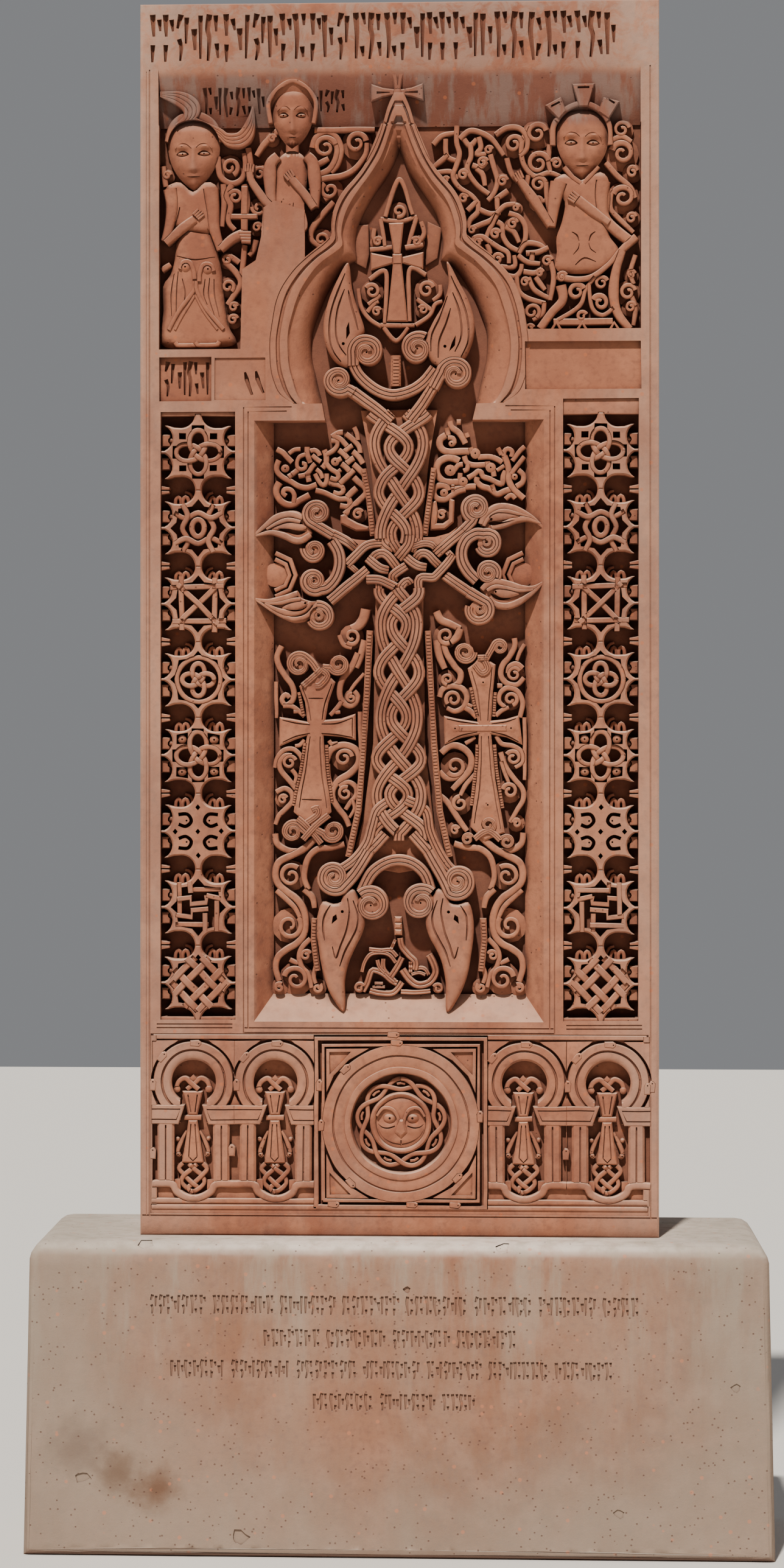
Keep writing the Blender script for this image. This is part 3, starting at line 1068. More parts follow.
# vines as (width, path), and curls as (centre x, centre z, radius, start, hand, width)
weave = {
    "left": [
        (8, [(-237, 1521), (-226, 1515), (-218, 1506), (-208, 1496)]), (6, [(-214, 1513), (-203, 1520), (-191, 1521)]),
        (8, [(-233, 1500), (-237, 1490), (-236, 1478), (-226, 1467), (-210, 1458), (-195, 1449), (-180, 1446),
             (-168, 1449), (-160, 1452)]), (8, [(-214, 1467), (-205, 1474), (-196, 1481)]),
        (8, [(-178, 1525), (-178, 1512), (-175, 1503), (-172, 1494)]),
        (6, [(-180, 1511), (-193, 1506), (-198, 1496), (-197, 1486), (-190, 1481), (-182, 1484), (-182, 1492),
             (-188, 1493)]), (7, [(-172, 1517), (-164, 1519), (-156, 1514), (-153, 1508)]),
        (7, [(-168, 1509), (-160, 1502), (-151, 1496)]),
        (7, [(-195, 1468), (-183, 1470), (-175, 1476), (-168, 1486), (-162, 1492)]), (8, [(-178, 1472), (-175, 1457)]),
        (8, [(-145, 1519), (-141, 1508), (-141, 1494), (-148, 1484)]),
        (7, [(-141, 1510), (-127, 1518), (-120, 1528), (-122, 1536), (-132, 1537)]),
        (7, [(-141, 1493), (-132, 1482), (-121, 1475), (-117, 1468), (-122, 1462), (-133, 1465)]),
        (7, [(-122, 1497), (-112, 1502)]), (7, [(-160, 1481), (-152, 1474), (-148, 1464)]),
        (7, [(-163, 1472), (-158, 1462), (-150, 1452), (-144, 1452), (-140, 1460), (-140, 1473)]),
        (7, [(-140, 1461), (-133, 1455), (-118, 1452), (-109, 1447), (-108, 1439), (-116, 1435), (-127, 1438)]),
        (8, [(-162, 1441), (-145, 1437), (-130, 1430), (-115, 1424), (-100, 1424), (-95, 1417), (-99, 1409),
             (-114, 1411)]),
        (10, [(-231, 1456), (-237, 1445), (-237, 1432), (-228, 1419), (-215, 1413), (-203, 1414), (-192, 1422),
              (-174, 1432)]),
        (7, [(-204, 1418), (-203, 1432), (-210, 1442), (-221, 1443), (-225, 1435), (-219, 1430)]),
        (8, [(-131, 1545), (-118, 1552), (-109, 1553)]), (8, [(-125, 1546), (-113, 1539), (-101, 1526)]),
        (8, [(-103, 1550), (-88, 1538), (-77, 1525), (-75, 1513)]), (7, [(-87, 1563), (-81, 1550), (-79, 1538)]),
        (7, [(-106, 1515), (-98, 1522), (-90, 1527)]), (8, [(-117, 1518), (-108, 1511), (-100, 1502)]),
        (9, [(-90, 1515), (-78, 1505), (-70, 1493)]), (8, [(-102, 1493), (-95, 1499), (-88, 1503)]),
        (8, [(-112, 1492), (-104, 1486), (-97, 1478)]), (9, [(-89, 1491), (-77, 1481), (-67, 1470), (-66, 1459)]),
        (8, [(-114, 1455), (-101, 1467), (-88, 1480)]), (6, [(-121, 1475), (-113, 1481)]),
        (9, [(-88, 1466), (-78, 1456), (-67, 1446), (-65, 1434), (-80, 1418), (-95, 1403), (-105, 1394)]),
        (9, [(-100, 1428), (-91, 1438), (-83, 1445)]),
    ],
    "right": [
        (9, [(98, 1574), (102, 1562), (114, 1553), (121, 1544), (128, 1530)]), (8, [(112, 1572), (120, 1572)]),
        (8, [(92, 1561), (95, 1547)]), (7, [(130, 1550), (133, 1542)]),
        (10, [(90, 1547), (80, 1540), (78, 1528), (84, 1518), (97, 1514), (115, 1515), (136, 1515)]),
        (7, [(94, 1542), (104, 1541), (107, 1533), (101, 1528)]),
        (10, [(116, 1497), (105, 1502), (92, 1503), (78, 1495), (73, 1482), (76, 1468), (86, 1458), (100, 1456),
              (118, 1457)]), (7, [(123, 1491), (114, 1489), (107, 1479)]), (7, [(118, 1474), (117, 1462)]),
        (8, [(126, 1506), (131, 1494), (145, 1489), (170, 1490)]), (7, [(133, 1491), (131, 1481), (124, 1478)]),
        (8, [(138, 1522), (141, 1512)]), (8, [(153, 1504), (175, 1505), (188, 1501), (199, 1494)]),
        (8, [(171, 1496), (172, 1487)]), (8, [(182, 1478), (184, 1466)]), (6, [(189, 1478), (203, 1487)]),
        (8, [(132, 1464), (145, 1471), (153, 1477), (159, 1474), (162, 1466), (176, 1461), (190, 1454),
             (200, 1453), (202, 1467), (206, 1477)]),
        (9, [(151, 1465), (150, 1456), (160, 1447), (175, 1442), (189, 1432), (204, 1438), (215, 1442)]),
        (7, [(180, 1450), (184, 1438)]), (9, [(106, 1442), (120, 1444), (135, 1447), (148, 1447)]),
        (5, [(104, 1452), (104, 1436)]),
        (9, [(96, 1440), (92, 1447), (82, 1450), (70, 1446), (67, 1434), (74, 1424), (88, 1422), (100, 1428),
             (114, 1438), (128, 1442)]),
        (7, [(202, 1506), (203, 1515), (210, 1520), (218, 1514), (216, 1504)]), (7, [(191, 1522), (198, 1509)]),
        (9, [(203, 1506), (209, 1490), (212, 1475), (212, 1460), (218, 1446), (228, 1435), (241, 1424)]),
        (7, [(242, 1504), (229, 1488), (216, 1471)]), (7, [(243, 1524), (233, 1515), (218, 1496)]),
        (8, [(230, 1478), (240, 1468), (238, 1455), (226, 1447)]), (7, [(206, 1423), (216, 1431), (224, 1424)]),
    ],
    "leftBalls": [(-124, 1496, 8), (-221, 1484, 8)],
    "rightBalls": [(101, 1530, 6), (99, 1479, 11), (123, 1457, 9), (148, 1511, 10), (177, 1484, 10), (223, 1465, 6),
                   (87, 1435, 8)],
}
beside = {
    "left": [
        (11, [(-228, 1140), (-236, 1120), (-232, 1100), (-220, 1080), (-207, 1063), (-203, 1045), (-209, 1031),
              (-221, 1026), (-227, 1037), (-219, 1046), (-212, 1040)]),
        (9, [(-225, 1024), (-208, 1023), (-196, 1015), (-183, 1002)]), (7, [(-204, 1012), (-194, 1012)]),
        (8, [(-238, 1070), (-238, 1030), (-238, 1000)]), (9, [(-116, 1160), (-108, 1142), (-92, 1136)]),
        (20, [(-64, 1210), (-68, 1192), (-78, 1178), (-92, 1172)]), (15, [(-66, 1150), (-74, 1120), (-84, 1098)]),
        (12, [(-80, 1126), (-92, 1100), (-108, 1078), (-114, 1060), (-114, 1042), (-107, 1029), (-95, 1023),
              (-84, 1029), (-80, 1042), (-87, 1051)]), (7, [(-68, 1086), (-85, 1066), (-97, 1047)]),
        (9, [(-110, 1032), (-121, 1018), (-134, 1005)]), (7, [(-124, 1010), (-114, 1011)]),
        (10, [(-75, 1012), (-74, 960), (-72, 900)]), (8, [(-184, 958), (-192, 948), (-202, 946)]),
        (9, [(-186, 912), (-191, 928), (-206, 940), (-224, 937), (-236, 922), (-240, 904)]),
        (10, [(-199, 862), (-214, 880), (-228, 898), (-231, 914), (-222, 927), (-208, 928)]),
        (8, [(-208, 900), (-199, 886), (-203, 872)]),
        (10, [(-238, 856), (-222, 863), (-208, 854), (-207, 838), (-220, 824), (-234, 810), (-240, 794)]),
        (8, [(-136, 956), (-128, 946)]), (7, [(-130, 950), (-119, 952)]),
        (13, [(-141, 916), (-132, 938), (-110, 948), (-88, 941), (-78, 925), (-81, 908), (-96, 892), (-116, 879),
              (-128, 862), (-129, 845), (-118, 825), (-105, 808), (-97, 790)]),
        (9, [(-138, 910), (-136, 884), (-130, 868)]),
        (10, [(-116, 868), (-98, 876), (-84, 866), (-83, 850), (-94, 836), (-103, 822)]),
        (7, [(-90, 842), (-86, 824), (-96, 806)]),
    ],
    "right": [
        (11, [(222, 1154), (223, 1138), (213, 1118), (200, 1100), (197, 1082), (208, 1067), (228, 1064), (241, 1078)]),
        (8, [(243, 1142), (233, 1126), (227, 1110)]), (15, [(72, 1206), (80, 1190), (96, 1182), (118, 1172)]),
        (15, [(118, 1172), (112, 1156), (100, 1146)]), (14, [(72, 1150), (78, 1120), (88, 1096)]),
        (10, [(238, 1096), (226, 1104), (213, 1098), (210, 1086)]),
        (10, [(234, 1000), (239, 1028), (229, 1051), (210, 1058), (196, 1048), (194, 1032), (205, 1020)]),
        (9, [(186, 1004), (198, 1014), (212, 1020)]), (9, [(190, 1062), (200, 1062)]),
        (12, [(84, 1150), (92, 1124), (106, 1102), (119, 1086), (116, 1068), (101, 1060), (86, 1067)]),
        (11, [(78, 1040), (85, 1056), (104, 1061), (122, 1056), (131, 1040), (125, 1021), (108, 1013), (92, 1019)]),
        (10, [(128, 1020), (140, 1012), (150, 1000)]), (7, [(132, 1026), (142, 1022)]),
        (8, [(243, 1000), (243, 950), (242, 880)]),
        (13, [(82, 932), (100, 946), (122, 942), (138, 925), (137, 903), (122, 882), (104, 862)]),
        (11, [(78, 896), (90, 885), (108, 884), (122, 897)]), (8, [(128, 950), (148, 962)]),
        (9, [(147, 892), (130, 872), (119, 850)]), (12, [(76, 852), (92, 838), (104, 820), (118, 800), (131, 782)]),
        (9, [(188, 964), (198, 950), (220, 946), (237, 934), (238, 914), (224, 904)]),
        (10, [(196, 934), (206, 906), (222, 882), (239, 862), (240, 842), (228, 822), (214, 798)]),
        (8, [(198, 916), (206, 890), (212, 874)]),
    ],
    "leftCurls": [(-92, 1157, 14, 4.0, 1, 9), (-92, 1038, 8, 1.4, 1, 7), (-212, 914, 12, 0.4, 1, 8),
                  (-225, 842, 8, 0.4, 1, 7), (-107, 922, 15, 0.2, 1, 9), (-104, 854, 12, 1.2, 1, 8)],
    "rightCurls": [(222, 1084, 12, 0.6, 1, 8), (216, 1036, 12, 5.0, 1, 9), (94, 1075, 10, 4.6, -1, 8),
                   (105, 1036, 14, 3.8, -1, 9), (108, 906, 17, 3.8, 1, 10), (118, 834, 13, 1.6, 1, 9),
                   (108, 783, 8, 0.4, 1, 7), (220, 923, 13, 2.6, -1, 9), (214, 858, 13, 2.9, -1, 9),
                   (227, 796, 8, 2.9, -1, 8), (90, 1158, 14, 5.2, -1, 9)],
}
lower = {
    "paths": [
        (12, [(-240, 776), (-236, 756), (-218, 744), (-196, 742)]),
        (14, [(-154, 774), (-182, 748), (-208, 734), (-232, 720), (-239, 700), (-235, 680), (-219, 664), (-200, 650),
              (-187, 632), (-181, 606), (-184, 582), (-198, 564), (-218, 552), (-235, 536), (-239, 514), (-232, 490)]),
        (12, [(-106, 756), (-132, 749), (-156, 746), (-174, 732), (-182, 712), (-184, 690), (-176, 668)]),
        (10, [(-238, 666), (-220, 650), (-202, 632), (-192, 612)]), (12, [(-184, 668), (-168, 652), (-164, 632)]),
        (10, [(-172, 572), (-188, 556), (-194, 538), (-188, 516), (-176, 502), (-170, 478)]),
        (9, [(-160, 522), (-166, 500), (-162, 486)]), (9, [(-212, 532), (-196, 524)]),
    ],
    "curls": [(-209, 694, 19, 0.9, 1, 10), (-213, 597, 22, 0.7, -1, 11), (-200, 494, 21, 2.9, -1, 11),
              (-181, 540, 9, 0.4, 1, 7), (-232, 477, 8, 1.0, 1, 8), (-158, 477, 8, 1.0, -1, 8)],
}
archVines = {
    "paths": [
        [(-80, 1832), (-74, 1796), (-58, 1772), (-34, 1757)], [(32, 1760), (58, 1778), (70, 1800), (84, 1806)],
        [(80, 1838), (80, 1820), (66, 1808)], [(-60, 1800), (-48, 1808), (-36, 1818)],
        [(-62, 1786), (-50, 1800), (-40, 1806)], [(62, 1790), (48, 1800), (34, 1810)],
        [(-48, 1948), (-50, 1930), (-40, 1916)], [(42, 1960), (48, 1938), (36, 1918)],
        [(-36, 1966), (0, 1961), (34, 1970)], [(-26, 1970), (0, 2042), (26, 1974)],
        [(-36, 1966), (-27, 1908)], [(33, 1968), (17, 1908)], [(-56, 1906), (-14, 1911)], [(12, 1910), (46, 1916)],
        [(-57, 1849), (-25, 1862), (-28, 1764)], [(52, 1857), (20, 1866), (21, 1768)],
        [(-36, 1760), (30, 1760)], [(-30, 1756), (-6, 1730), (18, 1756)],
    ],
    "curls": [(-52, 1826, 13, 2.6, -1, 9), (53, 1828, 14, 0.4, 1, 9), (-44, 1786, 8, 0.4, 1, 6),
              (46, 1790, 8, 2.7, -1, 6), (-42, 1922, 8, 0.4, 1, 6), (34, 1922, 8, 2.7, -1, 6),
              (0, 1981, 11, 4.4, 1, 8)],
}


def vines(paths, curls, top, seed=3):
    rng = np.random.default_rng(seed)
    cuts = [dome(x, z, radius + wide * 0.9 + 2, top - 13, 5, 12) for x, z, radius, _, _, wide in curls]
    for wide, path in paths:
        level = top + rng.uniform(-1, 1) * vineLook["drift"]
        cuts.append(strip(smooth(path, 3.5), [(0, wide), (0.6, wide), (1, wide * 0.82)], level, "round"))
    for x, z, radius, start, hand, wide in curls:
        cuts.append(curl([], (x, z), radius * 1.06, start, hand, 1.35, wide, 6, top + rng.uniform(0, 2), "round",
                         0.16))
    return cuts


def balls(places, top):
    # round buds with a drilled eye
    cuts = []
    for x, z, radius in places:
        cuts.append(dome(x, z, radius, top + 1, 3, 12))
        cuts.append(flat(disc(x, z, 1.8, 7), top - 8))
    return cuts


def plainCross(outline, lines, strands, curls, top):
    # a flared cross with a raised border: lines are cut in, and ribbed strands end in small volutes
    cuts = [plate(outline, top, 3, 2.5)]
    cuts += [flat(strip(smooth(line, 6), [(0, 1.6), (0.5, 3), (1, 1.6)], 0, "strap")["edge"], top - 4)
             for line in lines]
    for centre, radius, start, hand, wide, lead in curls:
        cuts.append(dome(centre[0], centre[1], radius, top - 3, 2, 12))
        cuts.append(curl(lead, centre, radius, start, hand, 1.5, wide, 5, top + 4, "ribs", 0.2))
        cuts.append(flat(disc(centre[0], centre[1], 1.8, 7), top - 6))
    return cuts + interlace([smooth(strand, 4) for strand in strands], 12, top + 4, "ribs", 1.4, 0.8)


def sideCrosses():
    top = -depth["crossBed"] - 5
    left = [(-193, 1061), (-176, 1078), (-150, 1098), (-123, 1069), (-137, 1030), (-143, 996), (-112, 999),
            (-84, 1008),
            (-84, 956), (-112, 964), (-146, 966), (-142, 900), (-131, 818), (-166, 786), (-204, 818), (-190, 900),
            (-178, 966), (-206, 956), (-232, 944), (-232, 1002), (-205, 998), (-177, 992), (-182, 1030)]
    cuts = plainCross(left, [[(-187, 1058), (-176, 1026), (-170, 994)], [(-130, 1066), (-143, 1030), (-149, 996)],
                             [(-176, 1038), (-147, 1038)], [(-172, 964), (-181, 900), (-193, 826)],
                             [(-152, 964), (-150, 900), (-140, 826)], [(-188, 842), (-150, 842)],
                             [(-226, 996), (-200, 990), (-172, 986)], [(-150, 988), (-120, 990), (-90, 1000)],
                             [(-226, 952), (-200, 964), (-172, 970)], [(-150, 970), (-120, 968), (-90, 962)],
                             [(-90, 1000), (-90, 964)]],
                      [[(-186, 1062), (-168, 1078), (-150, 1094)], [(-150, 1094), (-138, 1082), (-152, 1064),
                                                                   (-162, 1062)],
                       [(-196, 806), (-180, 792), (-150, 756)], [(-168, 822), (-158, 826), (-158, 812), (-186, 792)],
                       [(-136, 812), (-160, 792), (-186, 764)]],
                      [((-194, 1103), 20, 0.9, 1, 15, [(-156, 1090), (-168, 1106)]),
                       ((-117, 1104), 17, 3.6, 1, 13, [(-147, 1098)]),
                       ((-206, 780), 18, 0.7, 1, 14, [(-172, 770)]),
                       ((-128, 781), 18, 3.5, 1, 14, [(-164, 786)])], top)
    right = [(132, 1095), (145, 1106), (158, 1120), (187, 1102), (181, 1050), (177, 994), (206, 997), (232, 1004),
             (238, 948), (208, 962), (178, 967), (186, 880), (204, 778), (166, 762), (138, 790), (150, 880),
             (155, 967), (120, 961), (88, 948), (86, 1004), (112, 999), (152, 992), (144, 1050)]
    cuts += plainCross(right, [[(140, 1090), (153, 1040), (158, 994)], [(180, 1098), (174, 1040), (171, 994)],
                               [(160, 964), (157, 880), (146, 796)], [(173, 964), (180, 880), (196, 786)],
                               [(92, 998), (120, 993), (152, 988)], [(226, 998), (206, 992), (178, 988)],
                               [(94, 954), (120, 966), (152, 972)], [(230, 954), (206, 966), (178, 972)]],
                       [[(146, 1102), (160, 1086), (172, 1094), (166, 1110)], [(172, 1116), (152, 1116)],
                        [(146, 766), (172, 782), (196, 764)]],
                       [((127, 1127), 18, 0.0, -1, 14, []), ((194, 1136), 12, 2.6, -1, 12, [(168, 1112)]),
                        ((172, 794), 13, 4.2, 1, 10, []), ((132, 766), 10, 0.4, 1, 8, []),
                        ((208, 760), 12, 2.8, -1, 9, [])], top)
    cuts.append(strip([(108, 980), (215, 980)], 13, top + 2, "strap"))
    cuts += balls([(108, 980, 9.5), (216, 980, 10.5), (162, 1068, 9), (171, 832, 10.5)], top + 2)
    for line, wide in (([(-194, 1050), (-184, 1002)], 6), ([(-182, 952), (-190, 900), (-204, 830)], 7),
                       ([(-140, 948), (-138, 900), (-130, 836)], 7), ([(138, 1058), (152, 1002)], 7),
                       ([(186, 1050), (182, 1002)], 7), ([(152, 948), (148, 900), (140, 830)], 7),
                       ([(184, 948), (190, 890), (200, 826)], 7)):
        cuts += hatched(smooth(line, 12), wide, -24, 5.0)
    return cuts


def footKnot():
    # a knot of doubled strands between the tall leaves, hung from a jointed stem
    lines = [[(-70, 470), (-62, 486), (-54, 509), (-46, 511), (-30, 504), (-16, 492), (-4, 486)],
             [(-30, 534), (-30, 516), (-22, 502), (-8, 490)], [(-42, 532), (-38, 518), (-28, 506)],
             [(-72, 508), (-67, 528), (-55, 543), (-35, 546), (-18, 541), (-6, 526)],
             [(-58, 552), (-35, 550), (-16, 550), (-4, 538)], [(-16, 498), (-4, 516), (6, 536)],
             [(1, 574), (5, 557), (18, 541), (31, 527), (30, 512)], [(22, 528), (22, 506)],
             [(28, 512), (40, 516), (50, 513), (57, 503)], [(24, 503), (38, 507), (50, 503)],
             [(6, 512), (18, 496), (32, 485), (46, 484), (61, 491), (71, 507), (67, 524), (58, 541)],
             [(-57, 471), (-40, 467), (-15, 467), (-4, 474), (6, 488)], [(4, 470), (30, 469), (60, 472)],
             [(-48, 486), (-32, 486)], [(-52, 478), (-28, 479)], [(-15, 553), (-8, 570)]]
    widths = [11, 9, 8, 7, 7, 11, 11, 7, 7, 6, 14, 11, 9, 5, 5, 6]
    cuts = interlace([smooth(line, 4) for line in lines], widths, -26, "groove", 1.6, 0.8)
    for x, z, start, hand in ((-77, 477, 0.4, 1), (75, 477, 2.7, -1)):
        cuts.append(dome(x, z, 10, -28, 3, 12))
        cuts.append(curl([], (x, z), 9, start, hand, 1.2, 7, 5, -24, "round"))
    return cuts + [plate(rect(-9, z, 5, z + 11), -25, 3, 3) for z in (580, 592, 604)]


def archCross():
    # the small cross in the arch, and the two fins of the cusps beside it
    cuts = [plate([(-87, 1884), (-64, 1872), (-58, 1900), (-60, 1958), (-84, 1956)], -44, 3, 2),
            plate([(52, 1878), (74, 1892), (82, 1950), (54, 1962)], -44, 3, 2)]
    cuts += vines([(8.5, path) for path in archVines["paths"]], archVines["curls"], vineLook["arch"], 5)
    for arm in ([(-20, 1957), (-10, 1897), (2, 1897), (9, 1958)], [(-54, 1866), (-12, 1880), (-12, 1892),
                (-54, 1900)], [(6, 1880), (47, 1868), (47, 1902), (6, 1892)], [(-12, 1884), (-23, 1767), (17, 1767),
                (4, 1884)], [(-13, 1878), (5, 1878), (5, 1898), (-13, 1898)]):
        cuts.append(plate(arm, vineLook["arch"] + 2, 2.5, 2.5))
    return cuts


def fieldFilling():
    top = vineLook["field"]
    mirroredPaths = [(wide, [(-x, z + 1) for x, z in path]) for wide, path in lower["paths"]]
    mirroredCurls = [(-x, z + 1, radius, pi - start, -hand, wide) for x, z, radius, start, hand, wide
                     in lower["curls"]]
    cuts = vines(lower["paths"], lower["curls"], top, 3) + vines(mirroredPaths, mirroredCurls, top, 4)
    for side in ("left", "right"):
        cuts += vines(beside[side], beside[side + "Curls"], top, 6)
        lines = [smooth(path, 3.5) for _, path in weave[side]]
        widths = [wide * 1.3 for wide, _ in weave[side]]
        cuts += interlace(lines, widths, top - 1, "round", 1.5, 0.8)
        cuts += balls(weave[side + "Balls"], top)
    cuts += vines([], [(-79, 1394, 9, 0.5, 1, 7), (82, 1392, 8, 0.5, 1, 7)], top, 7)
    cuts += [plate([(-113, 1376), (-84, 1362), (-58, 1362), (-58, 1370), (-80, 1378), (-98, 1388), (-103, 1396),
                    (-113, 1392)], top, 3, 2.5),
             plate([(60, 1362), (88, 1364), (106, 1378), (108, 1420), (98, 1424), (96, 1384), (84, 1376), (72, 1376),
                    (76, 1396), (72, 1420), (62, 1418), (58, 1390)], top, 3, 2.5)]
    # a fan of two bands round a disc, on both sides at the height of the arms
    for s in (-1, 1):
        cuts.append(dome(s * 240, 1277, 23, top - 2, 4, 16))
        for reach, wide in ((30, 8), (42, 9)):
            fan = [(s * (242 - reach * cos(a)), 1277 + reach * sin(a)) for a in (-1.5, -0.75, 0.0, 0.75, 1.5)]
            cuts.append(strip(fan, wide, top, "round"))
    return cuts + sideCrosses() + footKnot() + archCross()


carve("fieldVines", fieldFilling(), -depth["field"] - 1.2)

# Three robed half-figures in the upper panels, with faces of a calm general type, and the vines round them
headLook = [(-398, 2105, 1.0, 1.0), (-206, 2176, 0.80, 0.92), (353, 2120, 1.0, 1.0)]
headShape = [(0, -82), (14, -73), (30, -56), (42, -36), (49, -14), (50, 8), (45, 27), (34, 42), (18, 50), (0, 53)]
figureVines = {
    "left": [
        [(-352, 2088), (-347, 2052), (-326, 2037), (-306, 2044), (-298, 2066), (-300, 2094)],
        [(-340, 2035), (-339, 1994), (-343, 1952)], [(-300, 2034), (-294, 1996), (-300, 1962)],
        [(-324, 2034), (-334, 2012), (-326, 1992), (-330, 1962), (-318, 1946)],
        [(-298, 1916), (-302, 1884), (-306, 1856)], [(-338, 1884), (-318, 1864), (-307, 1842), (-322, 1816),
                                                    (-332, 1802)], [(-310, 1882), (-328, 1896)],
        [(-292, 2104), (-286, 2062), (-292, 2040)], [(-234, 2138), (-262, 2112), (-276, 2090)],
        [(-276, 1926), (-282, 1906), (-290, 1896)], [(-458, 2070), (-452, 2030)], [(-460, 1868), (-444, 1880)],
        [(-168, 2104), (-161, 2124), (-140, 2135), (-121, 2124), (-112, 2100), (-118, 2074), (-132, 2056)],
        [(-155, 2052), (-135, 2062), (-123, 2084), (-122, 2106), (-136, 2119)], [(-158, 2070), (-137, 2082)],
        [(-168, 2036), (-142, 2045), (-110, 2050), (-84, 2064), (-64, 2090), (-62, 2112)],
        [(-172, 2020), (-154, 2034)], [(-126, 1998), (-150, 1972), (-169, 1946), (-170, 1926), (-155, 1913)],
        [(-144, 2004), (-134, 2010)], [(-164, 2138), (-48, 2138)],
    ],
    "leftCurls": [(-328, 2067, 15, 5.2, 1, 10), (-318, 2010, 12, 2.6, -1, 9), (-270, 2055, 11, 0.4, 1, 8),
                  (-272, 1988, 12, 3.0, 1, 8), (-275, 1951, 8, 0.2, 1, 6), (-333, 1888, 9, 0.2, 1, 7),
                  (-331, 1836, 11, 5.4, 1, 8), (-320, 1797, 8, 0.3, 1, 6), (-321, 1772, 9, 0.3, 1, 7),
                  (-143, 2104, 19, 0.3, 1, 11), (-82, 2112, 18, 0.2, 1, 11), (-134, 2022, 15, 2.2, 1, 10),
                  (-150, 1926, 13, 4.4, 1, 9), (-450, 2052, 7, 0.2, 1, 6), (-246, 2122, 7, 0.3, 1, 6)],
    "right": [
        [(252, 2142), (238, 2110), (240, 2070), (262, 2046), (290, 2052), (312, 2044)],
        [(290, 2106), (288, 2076), (292, 2056)], [(250, 2048), (246, 2014), (262, 1996), (284, 1998)],
        [(284, 2034), (286, 2002), (292, 1970)], [(398, 2070), (420, 2046), (446, 2022), (456, 2002)],
        [(410, 2020), (408, 1984), (424, 1962), (452, 1936)], [(408, 2112), (430, 2120), (448, 2110)],
        [(456, 1892), (446, 1858), (452, 1836)], [(448, 1812), (456, 1790), (452, 1756)],
        [(66, 2108), (82, 2124), (108, 2130)], [(90, 2118), (92, 2086), (112, 2076)], [(94, 2088), (68, 2066)],
        [(70, 2054), (98, 2056), (114, 2042)],
        [(112, 2144), (112, 2112), (117, 2090), (110, 2066), (104, 2046), (116, 2024), (140, 2008), (152, 1996)],
        [(118, 2118), (136, 2134), (158, 2130), (178, 2118), (194, 2098), (202, 2086)],
        [(186, 2126), (208, 2140), (232, 2139), (247, 2120), (247, 2098), (234, 2084)],
        [(126, 2118), (137, 2106), (150, 2118)], [(138, 2108), (139, 2085), (132, 2060), (150, 2030), (174, 2012)],
        [(154, 2122), (158, 2102), (150, 2090), (168, 2090)], [(142, 2068), (158, 2064), (170, 2074)],
        [(150, 2062), (162, 2050), (166, 2028)], [(176, 2088), (184, 2060), (190, 2036), (184, 2014), (172, 2000)],
        [(208, 2080), (214, 2056), (224, 2042), (240, 2036)], [(152, 1998), (152, 1978), (137, 1962), (133, 1946)],
        [(132, 1980), (150, 1998)], [(156, 1982), (176, 1974), (196, 1976)], [(210, 2018), (196, 2008), (186, 2002)],
        [(190, 2006), (190, 1982)], [(140, 1946), (160, 1954), (178, 1962), (192, 1978), (206, 1990), (224, 1992)],
        [(190, 1974), (174, 1942), (167, 1924)], [(190, 1958), (200, 1950), (201, 1930), (212, 1912), (232, 1902)],
        [(212, 1974), (232, 1966), (244, 1948), (243, 1920), (232, 1902)], [(206, 1948), (222, 1938), (232, 1918)],
        [(146, 1914), (145, 1926), (160, 1929), (176, 1918), (192, 1908), (210, 1898), (212, 1878)],
        [(170, 1914), (176, 1896)], [(180, 1882), (192, 1873), (222, 1872), (222, 1894)],
        [(232, 1898), (246, 1916), (270, 1914), (286, 1902)], [(246, 1897), (268, 1899), (288, 1908)],
        [(258, 1898), (256, 1876)], [(230, 1894), (248, 1880), (272, 1876)],
        [(200, 1857), (222, 1852), (234, 1862), (237, 1876)], [(226, 1852), (230, 1826), (246, 1811), (282, 1800)],
        [(240, 1861), (262, 1858), (276, 1866)], [(250, 1850), (262, 1826), (292, 1809)], [(264, 1850), (282, 1826)],
        [(292, 1880), (299, 1850), (292, 1806)], [(280, 1802), (277, 1780), (258, 1768)],
    ],
    "rightCurls": [(266, 2128, 18, 0.3, 1, 11), (269, 2070, 19, 0.3, 1, 11), (303, 2070, 9, 2.8, -1, 7),
                   (270, 2030, 13, 0.3, 1, 9), (267, 1996, 9, 0.3, 1, 7), (432, 2004, 19, 2.8, -1, 12),
                   (430, 2088, 20, 2.8, -1, 13), (450, 2052, 10, 0.3, 1, 8), (448, 1963, 9, 0.3, 1, 7),
                   (430, 2134, 14, 0.3, 1, 8), (441, 1820, 14, 0.3, 1, 9), (448, 1854, 8, 0.3, 1, 6),
                   (447, 1792, 9, 0.3, 1, 7), (286, 1881, 9, 0.3, 1, 7), (243, 1841, 8, 0.3, 1, 6),
                   (272, 1858, 7, 0.3, 1, 6), (256, 1784, 14, 5.4, 1, 9), (253, 1752, 7, 0.3, 1, 6),
                   (222, 2108, 15, 0.3, 1, 10), (124, 2049, 9, 0.3, 1, 8), (162, 2073, 9, 0.3, 1, 7),
                   (173, 2097, 7, 0.3, 1, 6), (200, 2036, 9, 0.3, 1, 7), (124, 2003, 8, 0.3, 1, 7),
                   (141, 1942, 7, 0.3, 1, 6), (186, 1934, 9, 0.3, 1, 8), (220, 1953, 9, 0.3, 1, 7),
                   (153, 1917, 7, 0.3, 1, 6), (190, 1886, 10, 0.3, 1, 8), (90, 2040, 6, 0.3, 1, 6),
                   (226, 1984, 6, 0.3, 1, 6)],
}


